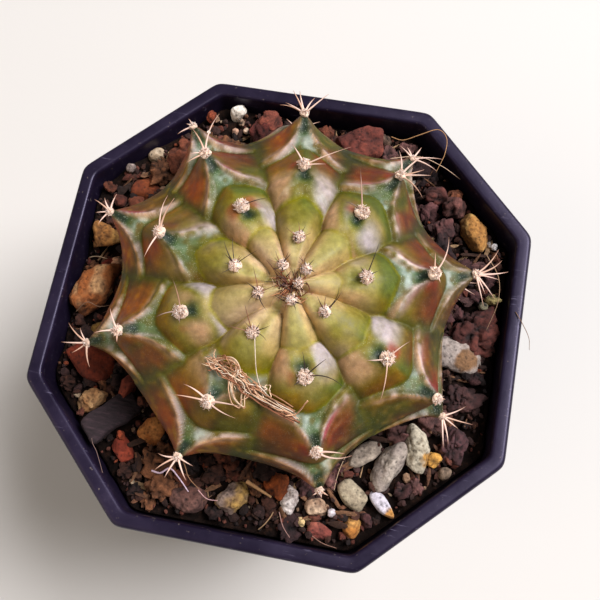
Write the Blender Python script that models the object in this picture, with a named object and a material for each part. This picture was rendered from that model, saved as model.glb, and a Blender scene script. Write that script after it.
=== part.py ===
"""Potted chin cactus: a nine-ribbed globe cactus in a square nursery pot with cut corners.

Every piece is a closed solid at its real size, in metres, +Z up. The origin is the centre of the
pot's underside. The pot, the potting mix, the cactus, a dried flower and the larger stones are
separate objects with small gaps between them.
"""
import math

import bmesh
import bpy
import numpy as np
from mathutils import Euler, Matrix, Vector
from mathutils.bvhtree import BVHTree

MM = 0.001
GAP = 0.3 * MM

# Pot
POT_WIDTH = 75 * MM
POT_HEIGHT = 68 * MM
BASE_WIDTH = 56 * MM
LONG_TO_CORNER_SIDE = 1.352
RIM_LEDGE = 2.4 * MM
COLLAR_HEIGHT = 6.5 * MM
COLLAR_STEP = 1.2 * MM
WALL = 1.2 * MM
FLOOR_UNDERSIDE = 3.0 * MM
FLOOR_THICKNESS = 1.6 * MM
FOOT_WIDTH = 1.6 * MM
CORNER_SHARPNESS = 120
DRAIN_CENTRE_RADIUS = 4.2 * MM
DRAIN_RADIUS = 3.0 * MM
DRAIN_CIRCLE = 17 * MM
DRAIN_COUNT = 8
NOTCH_WIDTH = 10 * MM
NOTCH_HEIGHT = 2 * MM

# Potting mix
MIX_DEPTH = 4.5 * MM
MIX_RINGS = 7
GRIT_COUNT = 64

# Cactus, its heights measured from the rim of the pot
RIB_DEGREES = (14.5, 56.5, 94.5, 130.5, 166.5, 204.0, 247.0, 290.0, 332.0)
AREOLES = (
    (1.2, 10.7, 21.2, 30.5, 40.0),
    (3.0, 15.2, 25.1, 34.0, 43.0),
    (6.8, 18.9, 29.6, 39.5),
    (2.8, 13.6, 24.4, 33.0, 42.5),
    (8.0, 20.5, 31.4, 41.5),
    (4.4, 15.6, 25.3, 33.8, 43.0),
    (8.4, 20.0, 31.4, 41.5),
    (2.4, 13.3, 24.3, 33.1, 42.5),
    (6.2, 17.5, 27.5, 35.0, 44.0),
)
RIB_TURNS = (
    (0.5, 0.5, -0.7, -2.1, -2.1),
    (-6.5, -0.4, -1.5, -2.1, -2.1),
    (-5.1, -1.4, -0.6, -0.6),
    (-9.5, 0.1, 0.8, -1.6, -1.6),
    (4.4, 0.6, 0.2, 0.2),
    (2.9, 0.9, 2.6, 4.2, 4.2),
    (-2.4, 0.8, 4.0, 4.0),
    (-2.6, 0.4, 0.9, 1.2, 1.2),
    (-0.8, 0.1, -0.4, -2.1, -2.1),
)
REACH = (-2.0, -3.0, -2.2, -1.9, -2.0, -1.5, -1.6, -0.5, -0.4)
FURROWS = (7.0, 4.6, 5.6, 5.5, 5.4, 5.6, 3.6, 3.8, 5.2)
FURROW_NORMAL = 5.4
DEPTH_ARCS = (0, 4, 8, 14, 22, 32, 38, 45, 51, 54)
DEPTHS = (0.1, 0.8, 1.6, 2.7, 4.0, 5.4, 6.2, 4.6, 1.8, 0.0)
GLOBE_RADIUS = 30 * MM
GLOBE_TOP = 12 * MM
GLOBE_LOWER = 11.6 * MM
WIDEST_HEIGHT = 6 * MM
GLOBE_CENTRE = (-0.3 * MM, 2.2 * MM)
CROWN_LEAN = (3.0 * MM, -3.4 * MM)
CROWN_DIMPLE = 1.0 * MM
NECK_ANGLE = math.radians(60.5)
NECK_DEPTH = 24 * MM
NECK_SHARES = (0.25, 0.5, 0.75, 0.92)
NECK_CLEARANCE = 0.6 * MM
RIBBED_ARC = 54 * MM
BODY_TRIANGLES = 4200
AREOLE_RADIUS = 1.05 * MM
SPINE_RADIUS = 0.2 * MM

# Dried flower, as lists of (x, y, height over the skin) in millimetres
FLOWER_STRANDS = (
    ((7.6, -18.6, 0.2), (5.2, -18.0, 0.5), (1.7, -16.4, 1.0), (-1.6, -14.9, 1.1), (-5.4, -12.8, 0.9)),
    ((6.2, -18.5, 0.6), (3.4, -17.0, 1.1), (0.2, -15.4, 0.7), (-3.0, -13.6, 1.5), (-5.6, -12.4, 0.9)),
    ((-5.4, -12.7, 0.9), (-4.4, -11.5, 1.6), (-2.2, -11.9, 2.0), (-0.6, -13.2, 1.7), (-1.3, -15.1, 0.9)),
    ((-1.4, -14.9, 1.0), (-2.4, -16.6, 1.5), (-1.6, -18.2, 1.2), (0.2, -17.8, 1.0), (1.9, -16.4, 0.9)),
    ((-4.0, -12.0, 1.5), (-2.9, -12.9, 2.2), (-1.9, -14.0, 1.8), (-1.0, -14.9, 1.0)),
)
STRAND_RADIUS = 0.32 * MM

# Stones and chips: middle (x, y), length, width and height in millimetres, turn in degrees,
# and how much of the height is in the mix
STONES = {
    "lava_red_north": ((7.6, 31.2), (7.0, 5.4, 4.6), 10, 0.45, "lava_red"),
    "pebble_white_north": ((-14.5, 32.6), (3.0, 2.6, 3.0), 20, 0.2, "perlite"),
    "pebble_cream_northwest": ((-26.2, 23.2), (3.2, 2.4, 2.6), 40, 0.25, "pumice_cream"),
    "clay_orange_northwest": ((-27.4, 17.0), (5.2, 4.6, 4.2), 70, 0.4, "fired_clay"),
    "pumice_ochre_west": ((-31.3, 7.6), (5.4, 5.2, 4.4), 15, 0.35, "pumice_ochre"),
    "pumice_tan_west": ((-30.8, -1.6), (9.2, 5.2, 5.0), 58, 0.4, "pumice_ochre"),
    "pumice_yellow_west": ((-29.2, -8.0), (3.6, 2.6, 3.0), 20, 0.4, "pumice_ochre"),
    "clay_shard_west": ((-29.4, -13.0), (8.8, 5.8, 5.0), -18, 0.4, "fired_clay"),
    "pumice_tan_southwest": ((-27.6, -19.2), (5.6, 3.2, 3.8), 38, 0.4, "pumice_tan"),
    "clay_red_west": ((-21.2, -16.6), (3.6, 2.8, 3.0), 70, 0.45, "fired_clay"),
    "clay_orange_southwest": ((-16.8, -22.2), (4.6, 5.0, 3.6), 60, 0.45, "pumice_ochre"),
    "clay_red_southwest": ((-20.8, -26.0), (4.4, 3.0, 3.4), -48, 0.4, "fired_clay"),
    "lava_brown_south": ((-8.6, -31.6), (6.0, 4.4, 4.2), 15, 0.4, "lava_brown"),
    "pumice_grey_south": ((-2.0, -30.2), (6.2, 4.4, 4.4), 52, 0.4, "pumice_grey"),
    "perlite_south": ((6.9, -28.8), (4.8, 3.0, 3.8), 80, 0.35, "perlite"),
    "pumice_tan_south": ((10.9, -29.2), (3.4, 3.0, 3.2), 20, 0.4, "pumice_tan"),
    "clay_pink_south": ((11.9, -32.6), (4.0, 2.6, 3.0), 0, 0.4, "lava_red"),
    "pumice_green_south": ((16.0, -26.4), (5.4, 3.6, 3.4), -38, 0.4, "pumice_grey"),
    "pumice_orange_south": ((16.7, -31.0), (3.4, 2.8, 3.2), 75, 0.4, "pumice_ochre"),
    "pebble_two_tone_southeast": ((20.7, -27.0), (5.2, 2.3, 2.6), -38, 0.35, "perlite"),
    "pumice_grey_southeast": ((21.1, -21.3), (7.2, 4.6, 4.6), 68, 0.4, "pumice_grey"),
    "pumice_cream_southeast": ((25.2, -18.0), (8.0, 4.0, 4.6), 105, 0.4, "pumice_cream"),
    "pumice_long_southeast": ((16.6, -19.9), (5.6, 2.6, 2.8), 40, 0.5, "pumice_grey"),
    "pumice_grey_east": ((28.2, -2.6), (6.6, 4.2, 4.2), -18, 0.4, "pumice_cream"),
    "lava_red_east": ((31.0, 3.6), (5.6, 6.2, 5.0), 0, 0.4, "lava_red"),
    "lava_dark_east": ((30.1, -8.6), (7.2, 5.6, 5.0), 35, 0.4, "lava_brown"),
    "lava_purple_east": ((30.3, -15.6), (4.6, 4.0, 4.4), 80, 0.4, "lava_brown"),
    "pumice_yellow_northeast": ((28.7, 19.0), (7.4, 4.0, 4.6), -55, 0.4, "pumice_ochre"),
    "lava_brown_northeast": ((23.4, 18.4), (4.8, 4.4, 4.2), 35, 0.4, "lava_brown"),
    "lava_red_northeast": ((21.8, 24.6), (4.8, 4.2, 4.0), 0, 0.4, "lava_red"),
}
BARK_CHIP = ((-23.4, -21.6), (9.4, 4.4, 1.8))
BARK_TILT_DEGREES = 24
BARK_TURN_DEGREES = 231
BARK_MIDDLE_HEIGHT = -2.9 * MM

COLOURS = {
    "black_plastic": ((0.035, 0.026, 0.045), 0.42),
    "potting_mix": ((0.055, 0.032, 0.024), 0.95),
    "cactus_skin": ((0.16, 0.19, 0.045), 0.45),
    "dried_petals": ((0.55, 0.36, 0.20), 0.85),
    "bark": ((0.07, 0.038, 0.03), 0.9),
    "lava_red": ((0.17, 0.045, 0.035), 0.95),
    "lava_brown": ((0.085, 0.04, 0.035), 0.95),
    "fired_clay": ((0.36, 0.08, 0.025), 0.85),
    "pumice_ochre": ((0.42, 0.22, 0.07), 0.9),
    "pumice_tan": ((0.33, 0.23, 0.14), 0.9),
    "pumice_cream": ((0.46, 0.42, 0.33), 0.9),
    "pumice_grey": ((0.33, 0.32, 0.26), 0.9),
    "perlite": ((0.75, 0.72, 0.70), 0.85),
}


def material(name):
    """A Principled material of the named colour and roughness."""
    if name in bpy.data.materials:
        return bpy.data.materials[name]
    colour, roughness = COLOURS[name]
    made = bpy.data.materials.new(name)
    made.use_nodes = True
    shader = made.node_tree.nodes["Principled BSDF"]
    shader.inputs["Base Color"].default_value = (*colour, 1.0)
    shader.inputs["Roughness"].default_value = roughness
    made.diffuse_color = (*colour, 1.0)
    return made


def solid(name, points, faces, finish, collection=None):
    """An object from points and faces, with every face turned outwards."""
    mesh = bpy.data.meshes.new(name)
    mesh.from_pydata([tuple(point) for point in points], [], [tuple(face) for face in faces])
    shape = bmesh.new()
    shape.from_mesh(mesh)
    bmesh.ops.recalc_face_normals(shape, faces=shape.faces)
    shape.to_mesh(mesh)
    shape.free()
    mesh.materials.append(material(finish))
    made = bpy.data.objects.new(name, mesh)
    (collection or bpy.context.scene.collection).objects.link(made)
    return made


def loft(loops, first_pole, last_pole):
    """Points and faces of a closed body through equal loops, ended by a pole at each end."""
    rows, count = len(loops), len(loops[0])
    points = np.vstack([first_pole, np.vstack(loops), last_pole])
    faces = []
    for column in range(count):
        following = (column + 1) % count
        faces.append((0, 1 + following, 1 + column))
        for row in range(rows - 1):
            low, high = 1 + row * count, 1 + (row + 1) * count
            faces.append((low + column, low + following, high + following, high + column))
        top = 1 + (rows - 1) * count
        faces.append((top + column, top + following, len(points) - 1))
    return points, faces


def apply_modifiers(target):
    """Replace an object's mesh with its evaluated one."""
    depsgraph = bpy.context.evaluated_depsgraph_get()
    finished = bpy.data.meshes.new_from_object(target.evaluated_get(depsgraph))
    target.modifiers.clear()
    target.data = finished


def combine(target, collection, operation):
    """Fuse a collection's objects to the target, or cut them out of it, and remove them."""
    joint = target.modifiers.new("combine", "BOOLEAN")
    joint.operation = operation
    joint.operand_type = "COLLECTION"
    joint.collection = collection
    joint.solver = "EXACT"
    apply_modifiers(target)
    for piece in list(collection.objects):
        bpy.data.objects.remove(piece)
    bpy.data.collections.remove(collection)


def working_collection(name):
    """A new collection for the pieces of one Boolean."""
    made = bpy.data.collections.new(name)
    bpy.context.scene.collection.children.link(made)
    return made


def keep_largest_body(target):
    """Merge doubled points and drop the scraps that a Boolean leaves loose."""
    shape = bmesh.new()
    shape.from_mesh(target.data)
    bmesh.ops.remove_doubles(shape, verts=shape.verts, dist=0.001 * MM)
    unseen = set(shape.faces)
    bodies = []
    while unseen:
        edge_of_body = [unseen.pop()]
        body = list(edge_of_body)
        while edge_of_body:
            face = edge_of_body.pop()
            for edge in face.edges:
                for other in edge.link_faces:
                    if other in unseen:
                        unseen.discard(other)
                        body.append(other)
                        edge_of_body.append(other)
        bodies.append(body)
    bodies.sort(key=len)
    for body in bodies[:-1]:
        bmesh.ops.delete(shape, geom=body, context="FACES")
    loose = [edge for edge in shape.edges if not edge.link_faces]
    bmesh.ops.delete(shape, geom=loose, context="EDGES")
    shape.to_mesh(target.data)
    shape.free()


def smooth_step(low, high, value):
    """0 below low, 1 above high, and a smooth rise between them."""
    share = np.clip((value - low) / (high - low), 0.0, 1.0)
    return share * share * (3.0 - 2.0 * share)


# Pot


def spoke_angles():
    """Directions of the pot's outline points, close together at its eight corners."""
    corner = math.degrees(math.atan2(long_side() / 2, POT_WIDTH / 2))
    steps = []
    for middle in (corner, 90 - corner):
        steps += [middle + turn for turn in (-1.4, 0.0, 1.4)]
    quarter = sorted([0, 13, 45, 77] + steps)
    return np.radians([quarter_turn + turn for quarter_turn in (0, 90, 180, 270) for turn in quarter])


def long_side():
    """Length of one of the four long sides of the rim."""
    return POT_WIDTH * LONG_TO_CORNER_SIDE / (LONG_TO_CORNER_SIDE + math.sqrt(2))


def outline_radius(angles, width):
    """Distance from the middle to an outline of the pot's shape, by direction.

    The outline is where a high power sum of the eight side distances is one, which rounds
    the corners a little.
    """
    corner_distance = (long_side() + POT_WIDTH) / (math.sqrt(2) * POT_WIDTH)
    total = np.zeros_like(angles)
    for side in range(8):
        distance = width / 2 * (corner_distance if side % 2 else 1.0)
        facing = np.clip(np.cos(angles - side * math.pi / 4), 0.0, None) / distance
        total += facing ** CORNER_SHARPNESS
    return total ** (-1.0 / CORNER_SHARPNESS)


def outline_loop(width, height):
    """One level loop of the pot's shape."""
    angles = spoke_angles()
    radius = outline_radius(angles, width)
    return np.stack([radius * np.cos(angles), radius * np.sin(angles), np.full_like(angles, height)], -1)


def wall_width(height):
    """Outer width of the tapered wall at a height."""
    top = POT_WIDTH - 2 * COLLAR_STEP
    return BASE_WIDTH + (top - BASE_WIDTH) * height / (POT_HEIGHT - COLLAR_HEIGHT)


def inside_width(height):
    """Inner width of the wall at a height."""
    lip = POT_WIDTH - 2 * RIM_LEDGE
    return np.minimum(wall_width(height) - 2 * WALL, lip)


def make_pot():
    """One moulded wall with a rolled rim, a raised floor on a foot ring, and drain holes."""
    collar_foot = POT_HEIGHT - COLLAR_HEIGHT
    floor_top = FLOOR_UNDERSIDE + FLOOR_THICKNESS
    lip = POT_WIDTH - 2 * RIM_LEDGE
    levels = (
        (BASE_WIDTH - 2 * FOOT_WIDTH - 1.0 * MM, FLOOR_UNDERSIDE),
        (BASE_WIDTH - 2 * FOOT_WIDTH, 0.0),
        (BASE_WIDTH, 0.0),
        (wall_width(collar_foot), collar_foot),
        (POT_WIDTH - 0.6 * MM, collar_foot + 0.3 * MM),
        (POT_WIDTH, POT_HEIGHT - 0.8 * MM),
        (POT_WIDTH - 0.4 * MM, POT_HEIGHT - 0.25 * MM),
        (POT_WIDTH - 1.3 * MM, POT_HEIGHT),
        (lip + 1.0 * MM, POT_HEIGHT - 0.1 * MM),
        (lip, POT_HEIGHT - 0.7 * MM),
        (inside_width(collar_foot), collar_foot),
        (inside_width(floor_top + 1.2 * MM), floor_top + 1.2 * MM),
        (inside_width(floor_top) - 2.0 * MM, floor_top),
    )
    loops = [outline_loop(width, height) for width, height in levels]
    points, faces = loft(loops, (0, 0, FLOOR_UNDERSIDE), (0, 0, floor_top))
    pot = solid("pot", points, faces, "black_plastic")
    cutters = working_collection("pot_cutters")
    places = [(0.0, 0.0, DRAIN_CENTRE_RADIUS)]
    for number in range(DRAIN_COUNT):
        turn = 2 * math.pi * (number + 0.5) / DRAIN_COUNT
        places.append((DRAIN_CIRCLE * math.cos(turn), DRAIN_CIRCLE * math.sin(turn), DRAIN_RADIUS))
    for x, y, radius in places:
        ring = np.radians(np.arange(0, 360, 30))
        circle = np.stack([x + radius * np.cos(ring), y + radius * np.sin(ring), 0 * ring], -1)
        low, high = circle + (0, 0, 2.0 * MM), circle + (0, 0, 6.0 * MM)
        points, faces = loft([low, high], (x, y, 2.0 * MM), (x, y, 6.0 * MM))
        solid("drain", points, faces, "black_plastic", cutters)
    for number in range(4):
        turn = Matrix.Rotation(number * math.pi / 2, 3, "Z")
        across = (-NOTCH_WIDTH / 2, NOTCH_WIDTH / 2)
        along = (BASE_WIDTH / 2 - FOOT_WIDTH - 2 * MM, BASE_WIDTH / 2 + 2 * MM)
        corners = [turn @ Vector((x, y, z)) for x in along for y in across for z in (-1 * MM, NOTCH_HEIGHT)]
        sides = ((0, 1, 3, 2), (4, 5, 7, 6), (0, 1, 5, 4), (2, 3, 7, 6), (0, 2, 6, 4), (1, 3, 7, 5))
        solid("notch", corners, sides, "black_plastic", cutters)
    combine(pot, cutters, "DIFFERENCE")
    keep_largest_body(pot)
    pot.data.set_sharp_from_angle(angle=math.radians(35))
    return pot


# Cactus


def crest_line(samples=3000):
    """The crest of a rib in its own plane: arc length, radius, height and outward normal.

    A quarter ellipse from the crown to the widest ring, a second one curling under it, and a
    third for the root neck.
    """
    upper = np.linspace(0, math.pi / 2, samples)
    lower = np.linspace(0, NECK_ANGLE, samples)[1:]
    neck = np.linspace(0, math.pi / 2, samples)[1:]
    neck_radius = GLOBE_RADIUS * math.cos(NECK_ANGLE)
    neck_top = WIDEST_HEIGHT - GLOBE_LOWER * math.sin(NECK_ANGLE)
    radius = np.concatenate([
        GLOBE_RADIUS * np.sin(upper),
        GLOBE_RADIUS * np.cos(lower),
        neck_radius * np.cos(neck)])
    height = np.concatenate([
        WIDEST_HEIGHT + GLOBE_TOP * np.cos(upper),
        WIDEST_HEIGHT - GLOBE_LOWER * np.sin(lower),
        neck_top - NECK_DEPTH * np.sin(neck)])
    arc = np.concatenate([[0.0], np.cumsum(np.hypot(np.diff(radius), np.diff(height)))])
    out, up = -np.gradient(height, arc), np.gradient(radius, arc)
    size = np.hypot(out, up)
    return arc, radius, height, out / size, up / size


CREST = crest_line()
RIBS = np.radians(RIB_DEGREES)


def crest_at(arc):
    """Radius, height and normal of the crest at an arc length from the crown."""
    return [np.interp(arc, CREST[0], values) for values in CREST[1:]]


def rib_angle(number, arc):
    """Direction of a rib's crest, which wanders a little from areole to areole."""
    return RIBS[number] + np.radians(np.interp(arc, np.array(AREOLES[number]) * MM, RIB_TURNS[number]))


def furrow_angles():
    """Direction of the furrow that follows each rib."""
    following = np.roll(RIBS, -1)
    following[-1] += 2 * math.pi
    return (RIBS + following) / 2


def soft_least(values, softness):
    """The smallest of several arrays, with rounded changes from one to the next."""
    stack = np.stack(values)
    least = stack.min(0)
    return least - softness * np.log(np.exp((least - stack) / softness).sum(0))


def tubercle_drop(along, across, half_width, arc, inner_gap, outer_gap):
    """How far a tubercle lies below its rib's crest, along and across from its areole.

    Near the crown a tubercle is a plump pad whose rounded chin ends in a U. Further out it is
    a pyramid: a gentle face towards the crown, bounded by two ridge lines that run back and
    down from the areole, and a short chin outward of it.
    """
    old = smooth_step(6 * MM, 24 * MM, arc)
    low = smooth_step(36 * MM, 44 * MM, arc)
    depth = (1.9 + 0.3 * old) * (1 - 0.45 * low) * MM
    sweep = 0.75 + 0.35 * old
    ridge = along + sweep * (np.sqrt(across ** 2 + 0.5 * MM ** 2) - 0.7 * MM)
    face = (np.clip(-ridge, 0, None) / (0.4 * inner_gap)) ** (1.3 - 0.35 * old)
    reach = np.clip(along, 0, None) / (0.6 * outer_gap)
    width = 0.6 * across / np.maximum(half_width, 0.8 * MM)
    chin = (reach ** 2 + width ** 2 * (1 - old)) ** (1.6 - 0.75 * old)
    flank = 0.45 * old * np.clip(ridge, 0, None) / (0.6 * outer_gap) * smooth_step(0, 3 * MM, across)
    nose = -1.5 * MM * old * (1 - low) * np.exp(-(along ** 2 + across ** 2) / (1.9 * MM) ** 2)
    notch = np.exp(-((along + 1.7 * MM) / (1.0 * MM)) ** 2 - (across / (1.1 * MM)) ** 2)
    return depth * (face + chin + flank) + nose + 0.9 * MM * notch * (1 - 0.7 * old)


def skin_offset(angle, arc):
    """Distance of the skin from the crest line, by direction and arc length.

    Each rib falls from its crest to the furrows on its two sides, rounded near the crown and
    hollow further out, less the drops of its tubercles. The highest rib wins.
    """
    radius = crest_at(arc)[0]
    depth = np.interp(arc / MM, DEPTH_ARCS, DEPTHS) * MM
    fading = 1 - smooth_step(45 * MM, RIBBED_ARC, arc)
    old = smooth_step(8 * MM, 28 * MM, arc)
    furrows = furrow_angles()
    ribs = []
    for number in range(len(RIBS)):
        rib = rib_angle(number, arc)
        turn = (angle - rib + math.pi) % (2 * math.pi) - math.pi
        before = furrows[number - 1] - (0 if number else 2 * math.pi)
        half = np.where(turn > 0, furrows[number] - rib, rib - before)
        furrow = np.where(turn > 0, FURROWS[number], FURROWS[number - 1]) / FURROW_NORMAL
        share = np.abs(turn) / half
        across = np.abs(turn) * radius
        inside = np.clip(share, 0, 1)
        crest = REACH[number] * MM * old * fading
        valley = depth * (1 + (furrow - 1) * old) + crest
        fall = inside ** 3.4 * (1 - old) + (1 - (1 - inside) ** 1.9) * old
        fall = valley * fall + 1.6 * depth * np.clip(share - 1, 0, None) - crest
        areoles = np.array(AREOLES[number]) * MM
        gaps = np.diff(np.concatenate([[areoles[0] - 10 * MM], areoles, [areoles[-1] + 10 * MM]]))
        drops = [
            tubercle_drop(arc - place, across, half * radius, place, gaps[order], gaps[order + 1])
            for order, place in enumerate(areoles)]
        relief = soft_least(drops, 0.15 * MM) * (1 - 0.7 * old * smooth_step(0.3, 1.0, share))
        ribs.append(fall + relief * fading)
    return -soft_least(ribs, 0.12 * MM)


def skin_point(angle, arc):
    """A point of the skin, with the crown leaning off the middle of the ring.

    Near the widest ring the offset moves a point more sideways than up, so that the deep
    furrows do not fold over themselves there.
    """
    radius, height, out, up = crest_at(arc)
    open_share = smooth_step(0, 2 * MM, arc)
    offset = skin_offset(angle, arc) * open_share - CROWN_DIMPLE * (1 - open_share)
    lean = np.clip((height - WIDEST_HEIGHT) / GLOBE_TOP, 0, 1)
    reach = radius + offset * out
    return np.stack([
        GLOBE_CENTRE[0] + CROWN_LEAN[0] * lean + reach * np.cos(angle),
        GLOBE_CENTRE[1] + CROWN_LEAN[1] * lean + reach * np.sin(angle),
        POT_HEIGHT + height + offset * up * (0.45 + 0.55 * up ** 2)], -1)


def rib_columns(per_side):
    """Directions of the skin's grid columns, the same number on each side of every rib."""
    furrows = furrow_angles()
    columns = []
    for number, rib in enumerate(RIBS):
        before = furrows[number - 1] - (0 if number else 2 * math.pi)
        columns.append(np.linspace(before, rib, per_side, endpoint=False))
        columns.append(np.linspace(rib, furrows[number], per_side, endpoint=False))
    return np.concatenate(columns)


def neck_arcs():
    """Arc lengths of the loops of the root neck, at even turns of its quarter ellipse."""
    heights = CREST[2]
    top = WIDEST_HEIGHT - GLOBE_LOWER * math.sin(NECK_ANGLE)
    levels = top - NECK_DEPTH * np.sin(np.array(NECK_SHARES) * math.pi / 2)
    return np.interp(-levels, -heights, CREST[0])


def areole_frames():
    """Place, outward direction and normal of every areole, with its arc length."""
    frames = []
    step = 0.2 * MM
    for number, places in enumerate(AREOLES):
        for arc in np.array(places) * MM:
            rib = float(rib_angle(number, arc))
            place = skin_point(rib, arc)
            along = skin_point(rib, arc + step) - skin_point(rib, max(arc - step, 0.0))
            side = np.array([-math.sin(rib), math.cos(rib), 0.0])
            crest = crest_at(arc)
            normal = np.array([crest[2] * math.cos(rib), crest[2] * math.sin(rib), crest[3]])
            outward = np.cross(side, normal)
            if np.dot(outward, along) < 0:
                outward = -outward
            frames.append((Vector(place), Vector(outward).normalized(), Vector(normal), arc))
    return frames


def add_spine(collection, root, direction, bend, length):
    """A three-sided tapered spine that curves from its direction towards its bend."""
    side = direction.orthogonal().normalized()
    other = direction.cross(side)
    middle = root + direction * length * 0.5 + bend * length * 0.04
    tip = root + direction * length + bend * length * 0.2
    rings = []
    for centre, radius in ((root, SPINE_RADIUS), (middle, SPINE_RADIUS * 0.8)):
        for turn in (0, 2 * math.pi / 3, 4 * math.pi / 3):
            rings.append(centre + radius * (side * math.cos(turn) + other * math.sin(turn)))
    faces = [(0, 1, 2)]
    for corner in range(3):
        following = (corner + 1) % 3
        faces.append((corner, following, 3 + following))
        faces.append((corner, 3 + following, 3 + corner))
        faces.append((3 + corner, 3 + following, 6))
    solid("spine", rings + [tip], faces, "cactus_skin", collection)


def add_areole(collection, draw, place, outward, normal, arc):
    """A woolly knob with a fan of spines, short by the crown and long on the outer tips."""
    side = normal.cross(outward)
    ball = bmesh.new()
    bmesh.ops.create_icosphere(ball, subdivisions=1, radius=AREOLE_RADIUS)
    knob_points = [place + normal * 0.25 * MM + vertex.co for vertex in ball.verts]
    knob_faces = [[vertex.index for vertex in face.verts] for face in ball.faces]
    ball.free()
    solid("knob", knob_points, knob_faces, "cactus_skin", collection)
    age = float(smooth_step(8 * MM, 26 * MM, arc))
    fan = (-80, 100)
    if age > 0.5:
        fan = (-62, -20, 22, 60) if arc > 28 * MM else (-55, 3, 58)
    if arc > 38 * MM:
        fan = (-35, 35)
    for degrees in fan:
        turn = math.radians(degrees + draw.uniform(-9, 9))
        lift = math.radians(62 - 36 * age + draw.uniform(-8, 8))
        flat = outward * math.cos(turn) + side * math.sin(turn)
        direction = (flat * math.cos(lift) + normal * math.sin(lift)).normalized()
        length = (2.4 + 3.2 * age + draw.uniform(-0.3, 0.6)) * MM
        bend = Vector((0, 0, 1)) if arc > 36 * MM else (flat * 0.5 - normal * 0.5)
        root = place + normal * 0.3 * MM + direction * 0.3 * MM
        add_spine(collection, root, direction, bend, length)


def make_cactus():
    """The ribbed body on its root neck, fused with its areoles and spines."""
    columns = rib_columns(10)
    arcs = np.concatenate([
        np.arange(0.7, RIBBED_ARC / MM + 0.6, 0.6) * MM,
        neck_arcs()])
    angles, lengths = np.meshgrid(columns, arcs)
    grid = skin_point(angles, lengths)
    points, faces = loft(list(grid), skin_point(0.0, 0.0), skin_point(0.0, CREST[0][-1]))
    cactus = solid("cactus", points, faces, "cactus_skin")
    thin = cactus.modifiers.new("thin", "DECIMATE")
    thin.ratio = BODY_TRIANGLES / (2 * len(columns) * len(arcs))
    apply_modifiers(cactus)
    body = bmesh.new()
    body.from_mesh(cactus.data)
    skin = BVHTree.FromBMesh(body)
    body.free()
    growths = working_collection("areoles_and_spines")
    draw = np.random.default_rng(9)
    for place, outward, normal, arc in areole_frames():
        add_areole(growths, draw, place, outward, normal, arc)
    combine(cactus, growths, "UNION")
    keep_largest_body(cactus)
    return cactus, skin


# Dried flower


def curve_through(points, samples):
    """Points of a smooth curve through a few given ones."""
    points = np.array(points, float)
    ends = np.vstack([2 * points[0] - points[1], points, 2 * points[-1] - points[-2]])
    made = []
    for share in np.linspace(0, len(points) - 1 - 1e-9, samples):
        start = int(share)
        part = share - start
        before, first, second, after = ends[start:start + 4]
        made.append(0.5 * (2 * first + (second - before) * part
                           + (2 * before - 5 * first + 4 * second - after) * part ** 2
                           + (3 * first - before - 3 * second + after) * part ** 3))
    return np.array(made)


def add_strand(collection, path, radius, name):
    """A five-sided tapered strand along a path."""
    loops = []
    for number, centre in enumerate(path):
        after = path[min(number + 1, len(path) - 1)]
        before = path[max(number - 1, 0)]
        forward = Vector(after - before).normalized()
        side = forward.cross(Vector((0, 0, 1))).normalized()
        upward = side.cross(forward)
        share = number / (len(path) - 1)
        size = radius * (0.75 + 0.5 * math.sin(math.pi * share))
        ring = [Vector(centre) + size * (side * math.cos(turn) + upward * math.sin(turn))
                for turn in np.radians([18, 90, 162, 234, 306])]
        loops.append(np.array([tuple(point) for point in ring]))
    points, faces = loft(loops, path[0], path[-1])
    return solid(name, points, faces, "dried_petals", collection)


def make_flower(skin):
    """The dead flower: a twisted stalk with ragged loops, lying just off the skin."""
    loops = working_collection("flower_loops")
    stalk = None
    for number, strand in enumerate(FLOWER_STRANDS):
        path = curve_through(strand, 9) * MM
        for point in path:
            above = Vector((point[0], point[1], POT_HEIGHT + 40 * MM))
            hit = skin.ray_cast(above, Vector((0, 0, -1)))[0]
            point[2] += hit.z + 1.5 * GAP + STRAND_RADIUS
        if number:
            add_strand(loops, path, STRAND_RADIUS, "loop")
        else:
            stalk = add_strand(bpy.context.scene.collection, path, STRAND_RADIUS * 1.3, "dried_flower")
    combine(stalk, loops, "UNION")
    keep_largest_body(stalk)
    return stalk


# Stones and chips


def mix_height(x, y):
    """Height of the potting mix: a shallow dish with waves of a few crumbs' width."""
    waves = 0.35 * np.sin(x / MM * 0.9 + 1.3) * np.sin(y / MM * 0.8 + 0.4)
    waves = waves + 0.3 * np.sin(x / MM * 1.7 - y / MM * 1.1)
    dish = 0.6 * np.cos(np.hypot(x, y) / MM * 0.1)
    return POT_HEIGHT - MIX_DEPTH + (waves + dish) * MM


def stone_points(seed, size):
    """Points of a blunt lump, squarer than an egg, with random dents."""
    draw = np.random.default_rng(seed)
    facing = draw.normal(size=(26, 3))
    facing /= np.linalg.norm(facing, axis=1, keepdims=True)
    squareness = (np.abs(facing) ** 3.2).sum(1) ** (-1 / 3.2)
    return facing * squareness[:, None] * draw.uniform(0.86, 1.0, (26, 1)) * np.array(size) * MM / 2


def hull_object(name, points, finish, collection=None):
    """A closed convex lump round the given points."""
    shape = bmesh.new()
    for point in points:
        shape.verts.new(tuple(point))
    hull = bmesh.ops.convex_hull(shape, input=shape.verts)
    spare = {item for item in hull["geom_interior"] + hull["geom_unused"]
             if isinstance(item, bmesh.types.BMVert)}
    bmesh.ops.delete(shape, geom=list(spare), context="VERTS")
    bmesh.ops.recalc_face_normals(shape, faces=shape.faces)
    mesh = bpy.data.meshes.new(name)
    shape.to_mesh(mesh)
    shape.free()
    mesh.materials.append(material(finish))
    made = bpy.data.objects.new(name, mesh)
    (collection or bpy.context.scene.collection).objects.link(made)
    return made


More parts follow.
